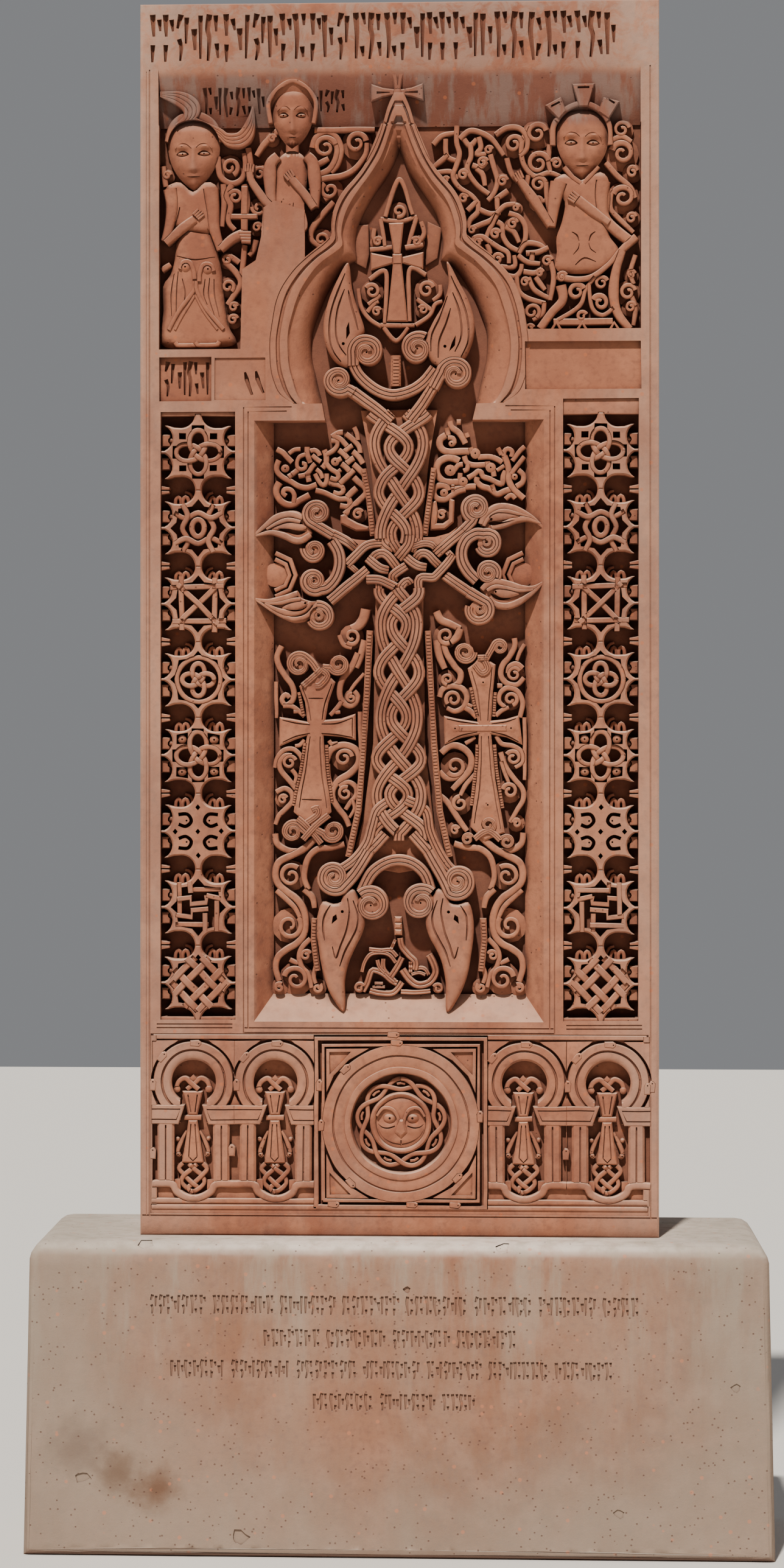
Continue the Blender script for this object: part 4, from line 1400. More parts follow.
def headCuts(cx, cz, wide, high):
    half = smooth(headShape, 7)
    outline = [(cx + wide * x, cz + high * z) for x, z in half + mirrored(half)[1:-1]]
    rim = np.array(outline + outline[:1])

    def level(points):
        x, v = (points[:, 0] - cx) / wide, (points[:, 1] - cz) / high
        away, _ = nearest(points, rim)
        out = -9.5 - 17 * np.clip(1 - away / 32, 0, 1) ** 2

        def bump(a, b, sx, sz):
            return np.exp(-((x - a) / sx) ** 2 - ((v - b) / sz) ** 2)
        down = np.clip((2 - v) / 46, 0, 1)
        bridge = np.exp(-(x / (4.5 + 5 * down ** 2)) ** 2) * (down > 0) * np.clip((v + 50) / 6, 0, 1)
        out = out + 7.0 * bridge * (0.45 + 0.55 * down)
        for s in (-1, 1):
            out = out - 5.5 * bump(s * 21, -12, 12, 8) + 3.2 * bump(s * 23, 1, 15, 4.0)
            out = out + 1.8 * bump(s * 27, -36, 11, 12)
        out = out + 2.6 * bump(0, -56, 14, 4) + 3.4 * bump(0, -70, 9, 6) + 1.0 * bump(0, 22, 26, 14)
        return np.minimum(out, -1.5)
    cuts = [swell(outline, level, 3.0)]
    for s in (-1, 1):
        lid = smooth([(-13, -1), (-5, 5.5), (3, 6), (13, -1), (3, -5.5), (-6, -4.5)], 3, True)
        lid = [(cx + wide * (s * 21 + s * x), cz + high * (-12 + z)) for x, z in lid]
        lid = lid if s > 0 else lid[::-1]
        cuts.append(flat(lid, -18))
        cuts.append(dome(cx + wide * s * 21, cz - 12.3 * high, 9.8 * wide, -11.5, 4.5, 14, 0.42 * high / wide))
        cuts.append(flat(disc(cx + wide * s * 21, cz - 12.3 * high, 1.7, 7), -16))
        brow = [(cx + wide * s * x, cz + high * z) for x, z in ((5, -1), (14, 6), (26, 6), (36, -2))]
        cuts.append(flat(strip(smooth(brow, 4), [(0, 1.2), (0.5, 2.2), (1, 1.0)], 0, "strap")["edge"], -10.5))
    mouth = [(cx + wide * x, cz + high * z) for x, z in ((-13, -56), (-5, -57.5), (5, -57.5), (13, -56))]
    cuts.append(flat(strip(smooth(mouth, 3), [(0, 1), (0.5, 2.4), (1, 1)], 0, "strap")["edge"], -14.5))
    return cuts


def robe(outline, top, folds, soft=16, fall=13, merge=0):
    # cloth that falls away at its edge, with shallow folds drawn as lines
    edge = smooth(outline, 9, True)
    edge = edge if area(edge) > 0 else edge[::-1]
    rim = np.array(edge + edge[:1])

    def level(points):
        away, _ = nearest(points, rim)
        base = top(points) if callable(top) else top
        share = np.clip((points[:, 1] - merge) / 60, 0, 1) if merge else 1
        return base - fall * share * np.clip(1 - away / soft, 0, 1) ** 2
    cuts = [swell(edge, level, 7)]
    for line, wide in folds:
        groove = strip(smooth(line, 5), [(0, wide * 0.5), (0.5, wide), (1, wide * 0.4)], 0, "strap")
        cuts.append(flat(groove["edge"], lambda p: level(p) - 3.4))
    return cuts


def limb(line, wide, top):
    return strip(smooth(line, 5), wide, top, "round")


def fingers(cx, cz, turn, top, count=4):
    cuts = []
    for k in range(count):
        start = moved([(0, (k - 1.5) * 4.6), (17 - abs(k - 1.3) * 1.6, (k - 1.5) * 5.4)], cx, cz, turn)
        cuts.append(strip(start, [(0, 5), (1, 3.6)], top, "round"))
    return cuts


def hairLocks(outer, inner, top, count=4):
    # parallel locks between two matched curves
    cuts = []
    for k in range(count):
        t = (k + 0.5) / count
        line = smooth([(a + (c - a) * t, b + (d - b) * t) for (a, b), (c, d) in zip(outer, inner)], 5)
        gap = [hypot(a - c, b - d) / count * 1.04 for (a, b), (c, d) in zip(outer, inner)]
        widths = [(i / (len(gap) - 1), max(g, 1.5)) for i, g in enumerate(gap)]
        cuts.append(strip(line, widths, top, "round"))
    return cuts


def leftFigure():
    cap = smooth([(-446, 2116), (-438, 2145), (-421, 2161), (-398, 2167), (-375, 2161), (-358, 2145), (-350, 2116)], 5)
    cuts = [strip(cap, 17, -13, "round")]
    cuts += hairLocks([(-408, 2150), (-387, 2170), (-388, 2192), (-412, 2209), (-462, 2213)],
                      [(-434, 2146), (-418, 2160), (-419, 2175), (-440, 2192), (-462, 2203)], -8)
    cuts += hairLocks([(-398, 2158), (-352, 2126), (-330, 2106), (-303, 2103), (-284, 2122), (-281, 2182)],
                      [(-392, 2160), (-348, 2142), (-332, 2131), (-310, 2133), (-294, 2156), (-283, 2183)], -8)
    skirt = [(-456, 1722), (-324, 1722), (-330, 1760), (-337, 1800), (-344, 1860), (-352, 1905), (-366, 1940),
             (-386, 1962), (-410, 1948), (-430, 1925), (-436, 1890), (-444, 1860), (-457, 1838), (-457, 1790)]
    folds = [([(-436, 1862), (-441, 1820), (-440, 1778)], 3), ([(-428, 1866), (-431, 1820), (-431, 1782)], 3),
             ([(-420, 1852), (-414, 1822), (-418, 1796)], 3), ([(-375, 1850), (-378, 1820), (-371, 1800)], 3),
             ([(-366, 1852), (-368, 1818), (-358, 1780)], 3), ([(-358, 1850), (-356, 1816), (-348, 1776)], 3),
             ([(-432, 1896), (-396, 1888), (-356, 1894)], 3)]
    cuts += robe(skirt, -14, folds)
    for line in ([(-397, 1846), (-399, 1826), (-424, 1790), (-446, 1752)], [(-393, 1846), (-392, 1826),
                 (-372, 1790), (-340, 1752)]):
        cuts.append(strip(smooth(line, 5), 8, -10.5, "round"))
    for line in ([(-396, 1818), (-416, 1784), (-434, 1752)], [(-395, 1818), (-376, 1784), (-352, 1752)]):
        cuts.append(strip(smooth(line, 5), 5, -11.5, "round"))
    for x, z, s in ((-412, 1872, 1), (-371, 1867, -1)):
        arcLine = smooth([(x - s * 12, z - 2), (x - s * 6, z + 11), (x + s * 6, z + 11), (x + s * 14, z - 4),
                          (x + s * 16, z - 22)], 4)
        cuts.append(strip(arcLine, 9, -9.5, "round"))
        cuts.append(dome(x - s, z + 1,9, -9.5, 4, 10))
        cuts.append(flat(disc(x - s * 2, z + 2, 2, 7), -17))
    for x in (-412, -372):
        cuts.append(strip(smooth([(x - 22, 1728), (x - 18, 1722), (x + 20, 1722), (x + 24, 1728)], 5),
                          9, -12, "round"))
    chest = [(-452, 2026), (-440, 2036), (-424, 2038), (-400, 2020), (-376, 2038), (-356, 2034), (-350, 2010),
             (-356, 1960), (-370, 1938), (-420, 1946), (-446, 1962), (-450, 2000)]
    cuts += robe(chest, -13, [([(-424, 1990), (-428, 1970), (-436, 1950)], 4)], 12, 9)
    cuts += [limb([(-444, 2024), (-439, 1990), (-444, 1958), (-454, 1924)], [(0, 26), (0.5, 21), (1, 15)], -9),
             limb([(-452, 1920), (-424, 1944), (-396, 1966)], [(0, 15), (0.6, 20), (1, 17)], -8)]
    cuts += fingers(-394, 1970, 0.75, -9)
    cuts += [limb([(-364, 2026), (-360, 1980), (-357, 1945), (-346, 1907)], [(0, 30), (0.5, 23), (1, 15)], -9),
             limb([(-346, 1908), (-322, 1928), (-300, 1938)], [(0, 16), (1, 20)], -8)]
    cuts += [strip([(-310 + 2 * k, 1940 - 6 * k), (-286, 1939 - 6 * k)], 6, -7, "round") for k in range(4)]
    cuts += [plate(rect(-306, 1944, -293, 2030), -16, 2, 2), plate(rect(-325, 1966, -274, 1976), -16, 2, 2)]
    return cuts + headCuts(*headLook[0])


def middleFigure():
    torso = [(-262, 1936), (-256, 1974), (-244, 1992), (-241, 2030), (-238, 2072), (-220, 2094), (-192, 2094),
             (-178, 2072), (-179, 2030), (-184, 1992), (-182, 1940)]
    folds = [([(-226, 2000), (-232, 1960), (-240, 1930)], 3), ([(-204, 1996), (-206, 1960), (-204, 1930)], 3)]
    cuts = [strip([(-206, 2116), (-206, 2084)], 26, -10, "round")]
    cuts += robe(torso, lambda p: -1.2 - 9 * np.clip((p[:, 1] - 1960) / 60, 0, 1), folds, 12, 9, 1960)
    cuts += [limb([(-234, 2086), (-248, 2070), (-249, 2030), (-244, 1988)], [(0, 20), (0.4, 26), (1, 17)], -3),
             limb([(-243, 1986), (-262, 2004), (-284, 2036), (-288, 2056)], [(0, 17), (1, 14)], -3),
             limb([(-178, 2086), (-166, 2070), (-162, 2030), (-163, 1988)], [(0, 20), (0.4, 26), (1, 17)], -3),
             limb([(-164, 1986), (-184, 2014), (-208, 2042)], [(0, 17), (1, 15)], -2)]
    cuts += fingers(-208, 2042, 2.2, -2) + fingers(-289, 2056, 1.5, -4)
    hood = smooth([(-248, 2150), (-250, 2196), (-206, 2232), (-162, 2196), (-166, 2150)], 5)
    cuts.append(strip(hood, 9, -7, "round"))
    cuts.append(strip(smooth([(-240, 2176), (-232, 2206), (-206, 2218), (-180, 2206), (-172, 2176)], 5), 6, -7,
                      "round"))
    return cuts + headCuts(*headLook[1])


def rightFigure():
    torso = [(306, 1862), (304, 1900), (304, 1928), (314, 1956), (320, 1996), (298, 2022), (300, 2040), (320, 2050),
             (350, 2036), (380, 2052), (402, 2042), (408, 2000), (404, 1960), (404, 1930), (424, 1902),
             (410, 1878), (376, 1858)]
    folds = [([(334, 1936), (343, 1930), (347, 1918)], 3.4), ([(378, 1936), (370, 1930), (366, 1918)], 3.4),
             ([(340, 1872), (358, 1886), (380, 1879)], 3.4), ([(336, 1892), (346, 1904), (347, 1914)], 2.2),
             ([(380, 1896), (369, 1904), (366, 1914)], 2.2)]
    cuts = robe(torso, -12, folds, 13, 9)
    cuts += [limb([(308, 2032), (300, 1994), (294, 1948)], [(0, 32), (0.5, 24), (1, 16)], -8),
             limb([(292, 1950), (262, 1996), (232, 2040)], [(0, 15), (0.5, 19), (1, 14)], -8)]
    cuts += fingers(234, 2038, 2.1, -8)
    cuts += [limb([(394, 2034), (390, 1996), (400, 1956), (446, 1918)], [(0, 28), (0.45, 22), (1, 20)], -10),
             limb([(404, 1952), (372, 1976), (344, 1998)], [(0, 13), (0.5, 20), (1, 19)], -6)]
    cuts += fingers(342, 1998, 2.5, -6)
    # seat, belt and hem
    cuts += [strip(smooth([(304, 1852), (340, 1845), (372, 1850), (402, 1872), (430, 1902), (458, 1926)], 5),
                   [(0, 12), (0.6, 9), (1, 16)], -10, "round"),
             strip(smooth([(312, 1834), (316, 1806), (296, 1782), (272, 1750)], 5), [(0, 20), (0.5, 15), (1, 16)],
                   -10, "round"),
             strip(smooth([(430, 1900), (418, 1862), (414, 1810), (424, 1776), (444, 1748)], 5),
                   [(0, 14), (0.5, 20), (1, 14)], -10, "round"),
             strip([(298, 1762), (412, 1764)], 13, -14, "strap"),
             strip(smooth([(306, 1766), (336, 1784), (352, 1800), (360, 1826), (378, 1850)], 5), 8, -15, "round"),
             strip(smooth([(366, 1836), (372, 1790), (392, 1776), (414, 1790)], 5), 8, -15, "round")]
    cuts += [curl([], (342, 1821), 15, 0.4, 1, 1.3, 11, 5, -13, "round"),
             curl([], (388, 1800), 14, 2.8, -1, 1.3, 11, 5, -13, "round"),
             curl([], (391, 1838), 12, 0.4, 1, 1.3, 8, 4, -15, "round"),
             curl([], (352, 1774), 9, 0.4, 1, 1.2, 8, 4, -15, "round"),
             curl([], (314, 1850), 9, 0.4, 1, 1.2, 7, 4, -11, "round")]
    for x in (303, 353, 415):
        cuts.append(strip([(x - 12, 1742), (x, 1762), (x + 12, 1742)], 6, -13, "round"))
    # crown and hair
    cuts += [strip(smooth([(296, 2104), (298, 2140), (310, 2160)], 5), 11, -12, "round"),
             strip(smooth([(407, 2104), (405, 2140), (396, 2160)], 5), 11, -12, "round"),
             strip(smooth([(304, 2150), (322, 2172), (353, 2184), (384, 2172), (402, 2150)], 5), 11, -9, "round")]
    for point, slot in (([(333, 2221), (346, 2177), (364, 2177), (378, 2221)], [(344, 2214), (367, 2214)]),
                        ([(282, 2180), (308, 2152), (322, 2168), (312, 2196)], [(294, 2178), (310, 2186)]),
                        ([(394, 2194), (384, 2166), (404, 2152), (426, 2186)], [(400, 2192), (416, 2182)])):
        cuts.append(plate(point, -6, 2, 2.5))
        cuts.append(flat(strip(slot, 4, 0, "strap")["edge"], -13))
    for line in ([(318, 2062), (334, 2042), (350, 2030)], [(384, 2062), (370, 2044), (356, 2030)]):
        cuts.append(strip(line, 9, -14, "round"))
    return cuts + headCuts(*headLook[2])


def figureFilling():
    top = vineLook["panel"]
    cuts = vines([(11.5, path) for path in figureVines["left"]], figureVines["leftCurls"], top, 8)
    cuts += vines([(10, path) for path in figureVines["right"]], figureVines["rightCurls"], top, 9)
    return cuts + middleFigure() + leftFigure() + rightFigure()


carve("figures", figureFilling(), -depth["panel"] - 1.2)


def finial():
    # the little cross that stands on the arch's tip
    def arm(turn, reach):
        return moved([(-5, 0), (5, 0), (9, reach * 0.55), (17, reach), (-17, reach), (-9, reach * 0.55)],
                     -3, 2207, turn)
    cuts = [plate(arm(turn, reach), -5, 2.5, 2.5)
            for turn, reach in ((0, 46), (pi / 2, 50), (-pi / 2, 50), (pi, 30))]
    for turn, reach in ((0, 40), (pi / 2, 44), (-pi / 2, 44)):
        line = moved([(0, 14), (0, reach - 4)], -3, 2207, turn)
        cuts.append(flat(strip(line, [(0, 1.6), (1, 5)], 0, "strap")["edge"], -8))
    cuts.append(dome(-3, 2207, 8, -4, 2, 12))
    return cuts


carve("finial", finial(), -depth["slope"] - 4)

# Small crosses in the four arches, and the sun-like face in its wreath
def keyholeCross(x):
    cuts, top = [], -13
    cuts.append(plate([(x - 9, 231), (x + 9, 231), (x + 20, 277), (x - 20, 277)], top, 2.5, 2.5))
    cuts.append(plate([(x - 9, 221), (x + 9, 221), (x + 13, 190), (x + 21, 138), (x - 21, 138), (x - 13, 190)][::-1],
                      top, 2.5, 2.5))
    cuts.append(strip([(x - 17, 226), (x + 17, 226)], 10, top, "round"))
    for line in ([(x - 4, 236), (x - 9, 270)], [(x + 4, 236), (x + 9, 270)], [(x - 4, 214), (x - 8, 150)],
                 [(x + 4, 214), (x + 8, 150)], [(x - 8, 150), (x, 142), (x + 8, 150)]):
        cuts.append(flat(strip(line, 2.4, 0, "strap")["edge"], top - 4))
    crown = [[(x + s * a, b) for a, b in ((33, 281), (28, 295), (15, 302), (3, 292), (-11, 280))] for s in (-1, 1)]
    cuts += interlace([smooth(line, 3) for line in crown], 9, top, "round", 1.4, 0.8)
    cuts.append(plate([(x - 7, 301), (x, 296), (x + 7, 301), (x, 309)], top - 1, 2, 1.5))
    for s in (-1, 1):
        cuts.append(dome(x + s * 31, 281, 7, top + 1, 3, 9))
        leaf = [(x + s * 13, 200), (x + s * 22, 182), (x + s * 30, 160), (x + s * 25, 150)]
        cuts.append(strip(smooth(leaf, 3), [(0, 4), (0.5, 9), (1, 7)], top - 4, "round"))
        cuts.append(dome(x + s * 30, 184, 5, top - 4, 4, 8))
        cuts.append(dome(x + s * 29, 154, 5.5, top - 3, 4, 8))
        cuts.append(flat(disc(x + s * 29, 154, 1.6, 6), top - 12))
    ropes = [[(x + s * a, b) for a, b in path] for s in (-1, 1) for path in (
        ((-19, 137), (-27, 127), (-18, 115), (-4, 101), (9, 90), (1, 80)),
        ((-8, 136), (5, 124), (18, 112), (22, 100), (11, 88), (-1, 82)))]
    cuts += interlace([smooth(rope, 3) for rope in ropes], 8.5, top - 1, "round", 1.6, 0.8)
    return cuts


def medallion():
    mx, mz = footLook["medallion"]
    # one strand that goes round twice and plaits with itself
    wave = [(a, 75 + 10.5 * cos(4.5 * a)) for a in np.linspace(0, 4 * pi, 260)]
    cuts = interlace([[(mx + r * sin(a), mz + r * cos(a)) for a, r in wave]], 8.5, -13, "round", 1.6, 0.8)
    for k in range(9):
        a = (k + 0.5) * 2 * pi / 9
        bud = moved([(-8, 0), (0, 2), (8, 0)], mx + 75 * sin(a + pi / 9), mz + 75 * cos(a + pi / 9),
                    -a - pi / 9)
        cuts.append(strip(bud, 5, -16, "round"))
    rim = [(60, -18), (59, -12), (56, -9.5), (52, -10.5), (49, -14), (48, -17), (47.5, -15)]

    def level(points):
        x, v = points[:, 0] - mx, points[:, 1] - mz
        r = np.hypot(x, v)

        def bump(a, b, sx, sz):
            return np.exp(-((x - a) / sx) ** 2 - ((v - b) / sz) ** 2)
        out = -9.5 - 6 * (r / 48) ** 3
        for s in (-1, 1):
            out = out - 4.5 * bump(s * 24, 8, 17, 10)
            out = out + 3.0 * bump(s * 26, -14, 13, 9)
        out = out + 2.0 * bump(0, 36, 30, 9) + 2.0 * bump(0, -34, 16, 7)
        return np.minimum(out, -3)
    cuts.append(turned(mx, mz, rim + [(0, -15)], 48))
    cuts.append(swell(disc(mx, mz, 47.5, 40), level, 3.2))
    for s in (-1, 1):
        brow = smooth([(mx + s * 46, mz + 14), (mx + s * 34, mz + 29), (mx + s * 16, mz + 26), (mx + s * 6, mz + 10),
                       (mx + s * 5, mz - 6)], 4)
        cuts.append(strip(brow, [(0, 4), (0.4, 7), (1, 6)], -6.5, "round"))
        cuts.append(dome(mx + s * 22, mz + 9, 12, -7.5, 6, 16, 0.8))
        cuts.append(flat(disc(mx + s * 22, mz + 10, 2.4, 8), -13))
        for line in ([(44, -2), (36, -8), (24, -9), (12, -5)], [(45, -12), (35, -27), (18, -37), (0, -41)]):
            crease = smooth([(mx + s * a, mz + b) for a, b in line], 4)
            cuts.append(flat(strip(crease, [(0, 1.5), (0.6, 3), (1, 2.5)], 0, "strap")["edge"], -15))
    nose = [(mx - 5, mz + 8), (mx + 5, mz + 8), (mx + 12, mz - 17), (mx + 6, mz - 22), (mx, mz - 28),
            (mx - 6, mz - 22), (mx - 12, mz - 17)]
    cuts.append(plate(nose[::-1], -5, 4, 3.2))
    cuts.append(flat(strip([(mx, mz - 32), (mx, mz - 44)], 2, 0, "strap")["edge"], -15))
    return cuts


def footFilling():
    look = footLook
    cuts = []
    for x in look["centres"]:
        cuts += keyholeCross(x - 2)
    return cuts + medallion()


carve("footFilling", footFilling(), -depth["foot"] - 1.2)

# The plinth: a block with a broad worn upper edge, shallow rows of strokes and a few chips
plinthLook = {"wide": 1430.0, "topWide": 1400.0, "high": 600.0, "deep": 465.0, "round": 46.0, "corner": 34.0,
              "rows": [(-470, 455, 462, 500, 61), (-252, 236, 400, 436, 62), (-430, 410, 341, 377, 63),
                       (-158, 140, 281, 315, 64)]}


def plinthCuts():
    look = plinthLook
    half, narrow, high = look["wide"] / 2, look["topWide"] / 2, look["high"]
    bend = look["corner"]
    right = [(half, 0), (narrow + 3, high - bend)]
    right += [(narrow - bend + bend * cos(a) + 2, high - bend + bend * sin(a)) for a in (0.35, 0.8, 1.2)]
    right += [(narrow - bend, high)]
    edge = [(-half, 0)] + right + mirrored(right[1:])
    rim = np.array(edge + edge[:1])

    def level(points):
        x, z = points[:, 0], points[:, 1]
        turn = np.clip((z - (high - look["round"])) / look["round"], 0, 1)
        over = look["round"] * (1 - np.sqrt(np.clip(1 - turn ** 2, 0, 1))) * 0.9
        away, _ = nearest(points, rim[1:])
        side = 9 * np.clip(1 - away / 12, 0, 1) ** 2
        dressed = 0.8 * np.sin(x / 37 + z / 51) + 0.6 * np.sin(z / 23 - x / 61) + 0.4 * np.sin(x / 9 + z / 13)
        return -over - side - 1.3 + dressed * 0.6 * np.clip(away / 20, 0, 1) - 5 * np.clip(1 - z / 14, 0, 1)
    front = swell(edge, level, 9)
    front["guides"] = [(inset(edge, d), True) for d in (5, 12)]
    front["guides"] += [([(x, high - h) for x in np.linspace(-narrow, narrow, 110)], False)
                        for h in (2, 4.5, 8, 12, 16, 21, 26, 32, 39, 46)]
    cuts = [front]
    for x0, x1, foot, top, seed in look["rows"]:
        for cut in glyphs(x0, x1, foot, top, seed, 0.0, 0.55, 7):
            cuts.append(flat(cut["edge"], lambda p: level(p) - 3.4))
    # chips: centre, radius and depth
    for x, z, r, d in ((18, 512, 7, 7), (-602, 150, 14, 5), (-300, 40, 16, 6), (420, 90, 10, 4),
                       (640, 330, 9, 4), (200, 590, 12, 12), (-480, 596, 14, 14)):
        rough = [(x + r * (1 + 0.3 * sin(3 * a + x)) * cos(a),
                  z + 0.8 * r * (1 + 0.3 * cos(2 * a + z)) * sin(a)) for a in np.linspace(0, 2 * pi, 10)[:-1]]
        cuts.append({"edge": rough, "level": lambda p, d=d: level(p) - d * 0.6, "guides": [],
                     "points": [(x, z)]})
    for cut in cuts[1:]:
        cut["edge"] = [(px, min(pz, high - 1)) for px, pz in cut["edge"]]
    return cuts


def plinthPlace(x, z, level):
    look = plinthLook
    wide = (plinthHigh.x - plinthLow.x) / look["wide"]
    deep = (plinthHigh.y - plinthLow.y) / look["deep"]
    tall = (plinthHigh.z - plinthLow.z) / look["high"]
    return np.stack([x * wide, plinthLow.y - level * deep, plinthLow.z + z * tall], 1)


def plinthBack(points):
    # the hidden face is only roughly dressed
    x, z = points[:, 0], points[:, 1]
    return 5 + 2.2 * np.sin(x / 90 + z / 70) + 1.6 * np.sin(z / 47 - x / 55) + 0.9 * np.sin(x / 31)


plinthPiece = carve("plinthBlock", plinthCuts(), -plinthLook["deep"], plinthPlace, 0.0, 38,
                    {"pitch": 46, "level": plinthBack})
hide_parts("plinth")

# The stones: red tuff, open-grained, weathered paler and greyer where the face stands proud
tuffLook = {
    "red_tuff": {"fresh": "#a0684e", "deep": "#8a5540", "warm": "#b07558", "pale": "#aa8f7d", "grey": "#9c9184",
                 "shade": "#4a2e27", "weather": 0.48, "proud": 0.010, "spots": "#b8663f", "dark": "#5a3a33",
                 "streak": "#82736a", "dust": "#d3ae96", "front": True},
    "weathered_tuff": {"fresh": "#8f6650", "deep": "#80553f", "warm": "#98705b", "pale": "#a09483",
                       "grey": "#a59a90", "shade": "#5c4038", "weather": 0.42, "proud": 0.03,
                       "spots": "#c47a58", "dark": "#6d4a42", "streak": "#8b827c", "dust": "#eadfd2", "front": False},
}


def linear(code):
    values = [int(code[i:i + 2], 16) / 255 for i in (1, 3, 5)]
    return tuple(v / 12.92 if v <= 0.04045 else ((v + 0.055) / 1.055) ** 2.4 for v in values)


def addNode(tree, kind, settings=None, links=None):
    # settings go on the node, links on its inputs: a socket is joined and a value is set
    node = tree.nodes.new(kind)
    for key, value in (settings or {}).items():
        setattr(node, key, value)
    for key, value in (links or {}).items():
        if isinstance(value, bpy.types.NodeSocket):
            tree.links.new(value, node.inputs[key])
        else:
            node.inputs[key].default_value = value
    return node


def tuff(name):
    look = tuffLook[name]
    material = bpy.data.materials.new(name)
    material.use_nodes = True
    tree = material.node_tree
    shader = tree.nodes["Principled BSDF"]
    place = addNode(tree, "ShaderNodeTexCoord").outputs["Object"]
    axes = addNode(tree, "ShaderNodeSeparateXYZ", None, {0: place}).outputs

    def noise(size, detail=4.0, rough=0.55, vector=None, warp=0.0):
        # size is the width of one patch in metres
        node = addNode(tree, "ShaderNodeTexNoise", {}, {"Vector": vector or place, "Scale": 1 / size,
                                                        "Detail": detail, "Roughness": rough, "Distortion": warp})
        return node.outputs["Fac"]

    def scaled(x, y, z):
        return addNode(tree, "ShaderNodeVectorMath", {"operation": "MULTIPLY"}, {0: place, 1: (x, y, z)}).outputs[0]

    def ramp(value, low, high, out=(0.0, 1.0)):
        return addNode(tree, "ShaderNodeMapRange", {"interpolation_type": "SMOOTHSTEP"},
                       {0: value, 1: low, 2: high, 3: out[0], 4: out[1]}).outputs[0]

    def maths(operation, a, b=0.0):
        return addNode(tree, "ShaderNodeMath", {"operation": operation}, {0: a, 1: b}).outputs[0]

    def blend(share, under, over):
        # factor, then the two colours of a mix node set to colour
        mix = addNode(tree, "ShaderNodeMix", {"data_type": "RGBA", "blend_type": "MIX"},
                      {0: share, 6: under if not isinstance(under, str) else (*linear(under), 1),
                       7: over if not isinstance(over, str) else (*linear(over), 1)})
        return mix.outputs[2]
    # beds of colour a hand wide, then mottling of a finger's width
    colour = blend(ramp(noise(0.34, 3), 0.38, 0.64), look["fresh"], look["deep"])
    colour = blend(maths("MULTIPLY", ramp(noise(0.055, 4), 0.42, 0.7), 0.6), colour, look["warm"])
    colour = blend(maths("MULTIPLY", ramp(noise(0.012, 3), 0.45, 0.75), 0.35), colour, look["dark"])
    # weathering: paler on the proud face and on what looks upwards
    front = slabLow.y if look["front"] else plinthLow.y
    proud = ramp(axes["Y"], front + look["proud"], front - 0.004)
    across = maths("ABSOLUTE", axes["X"])
    if look["front"]:
        # the sides and the back are weathered as well
        proud = maths("MAXIMUM", proud, ramp(across, 0.492, 0.497))
        proud = maths("MAXIMUM", proud, ramp(axes["Y"], front + 0.20, front + 0.225))
    aside = ramp(across, 0.30, 0.47)
    high = ramp(axes["Z"], 0.62 if look["front"] else 0.2, 2.9 if look["front"] else 0.6)
    patches = ramp(noise(0.13, 7, 0.7, scaled(1.0, 1.0, 0.35), warp=0.3), 0.36, 0.66)
    share = maths("MULTIPLY", maths("MULTIPLY", proud, patches), look["weather"])
    share = maths("MULTIPLY", share, maths("ADD", maths("MULTIPLY", high, 0.25), 0.5))
    share = maths("ADD", share, maths("MULTIPLY", maths("MULTIPLY", aside, proud), 0.32 if look["front"] else 0.0))
    colour = blend(share, colour, look["pale"])
    if look["front"]:
        # the smooth field beside the arch stays redder, and dirt lies on the ground of the deepest carving
        sheltered = maths("MULTIPLY", ramp(axes["Z"], 2.16, 2.30), ramp(across, 0.48, 0.36))
        within = maths("MULTIPLY", ramp(across, 0.482, 0.474), ramp(axes["Y"], front + 0.075, front + 0.060))
        colour = blend(maths("MULTIPLY", sheltered, 0.42), colour, "#854f3b")
        sunk = maths("MULTIPLY", within, ramp(axes["Y"], front + 0.034, front + 0.054, (0.0, 0.5)))
        colour = blend(sunk, colour, look["shade"])
    up = addNode(tree, "ShaderNodeNewGeometry").outputs["Normal"]
    lean = addNode(tree, "ShaderNodeSeparateXYZ", None, {0: up}).outputs["Z"]
    dust = maths("MULTIPLY", ramp(lean, 0.3, 0.85), ramp(noise(0.03, 4), 0.25, 0.6, (0.65, 1.0)))
    colour = blend(maths("MULTIPLY", dust, 0.7), colour, look["dust"])
    if look["front"]:
        # grey lichen and run-off on the inscription band and the slope under it
        crown = ramp(axes["Z"], slabHigh.z - 0.28, slabHigh.z - 0.02)
        lichen = maths("MULTIPLY", crown, ramp(noise(0.045, 6, 0.7, warp=0.8), 0.40, 0.56))
        colour = blend(maths("MULTIPLY", maths("MULTIPLY", lichen, proud), 0.45), colour, look["grey"])
        slopeBand = maths("MULTIPLY", ramp(axes["Z"], slabLow.z + 2.135, slabLow.z + 2.155),
                          ramp(axes["Z"], slabLow.z + 2.262, slabLow.z + 2.25))
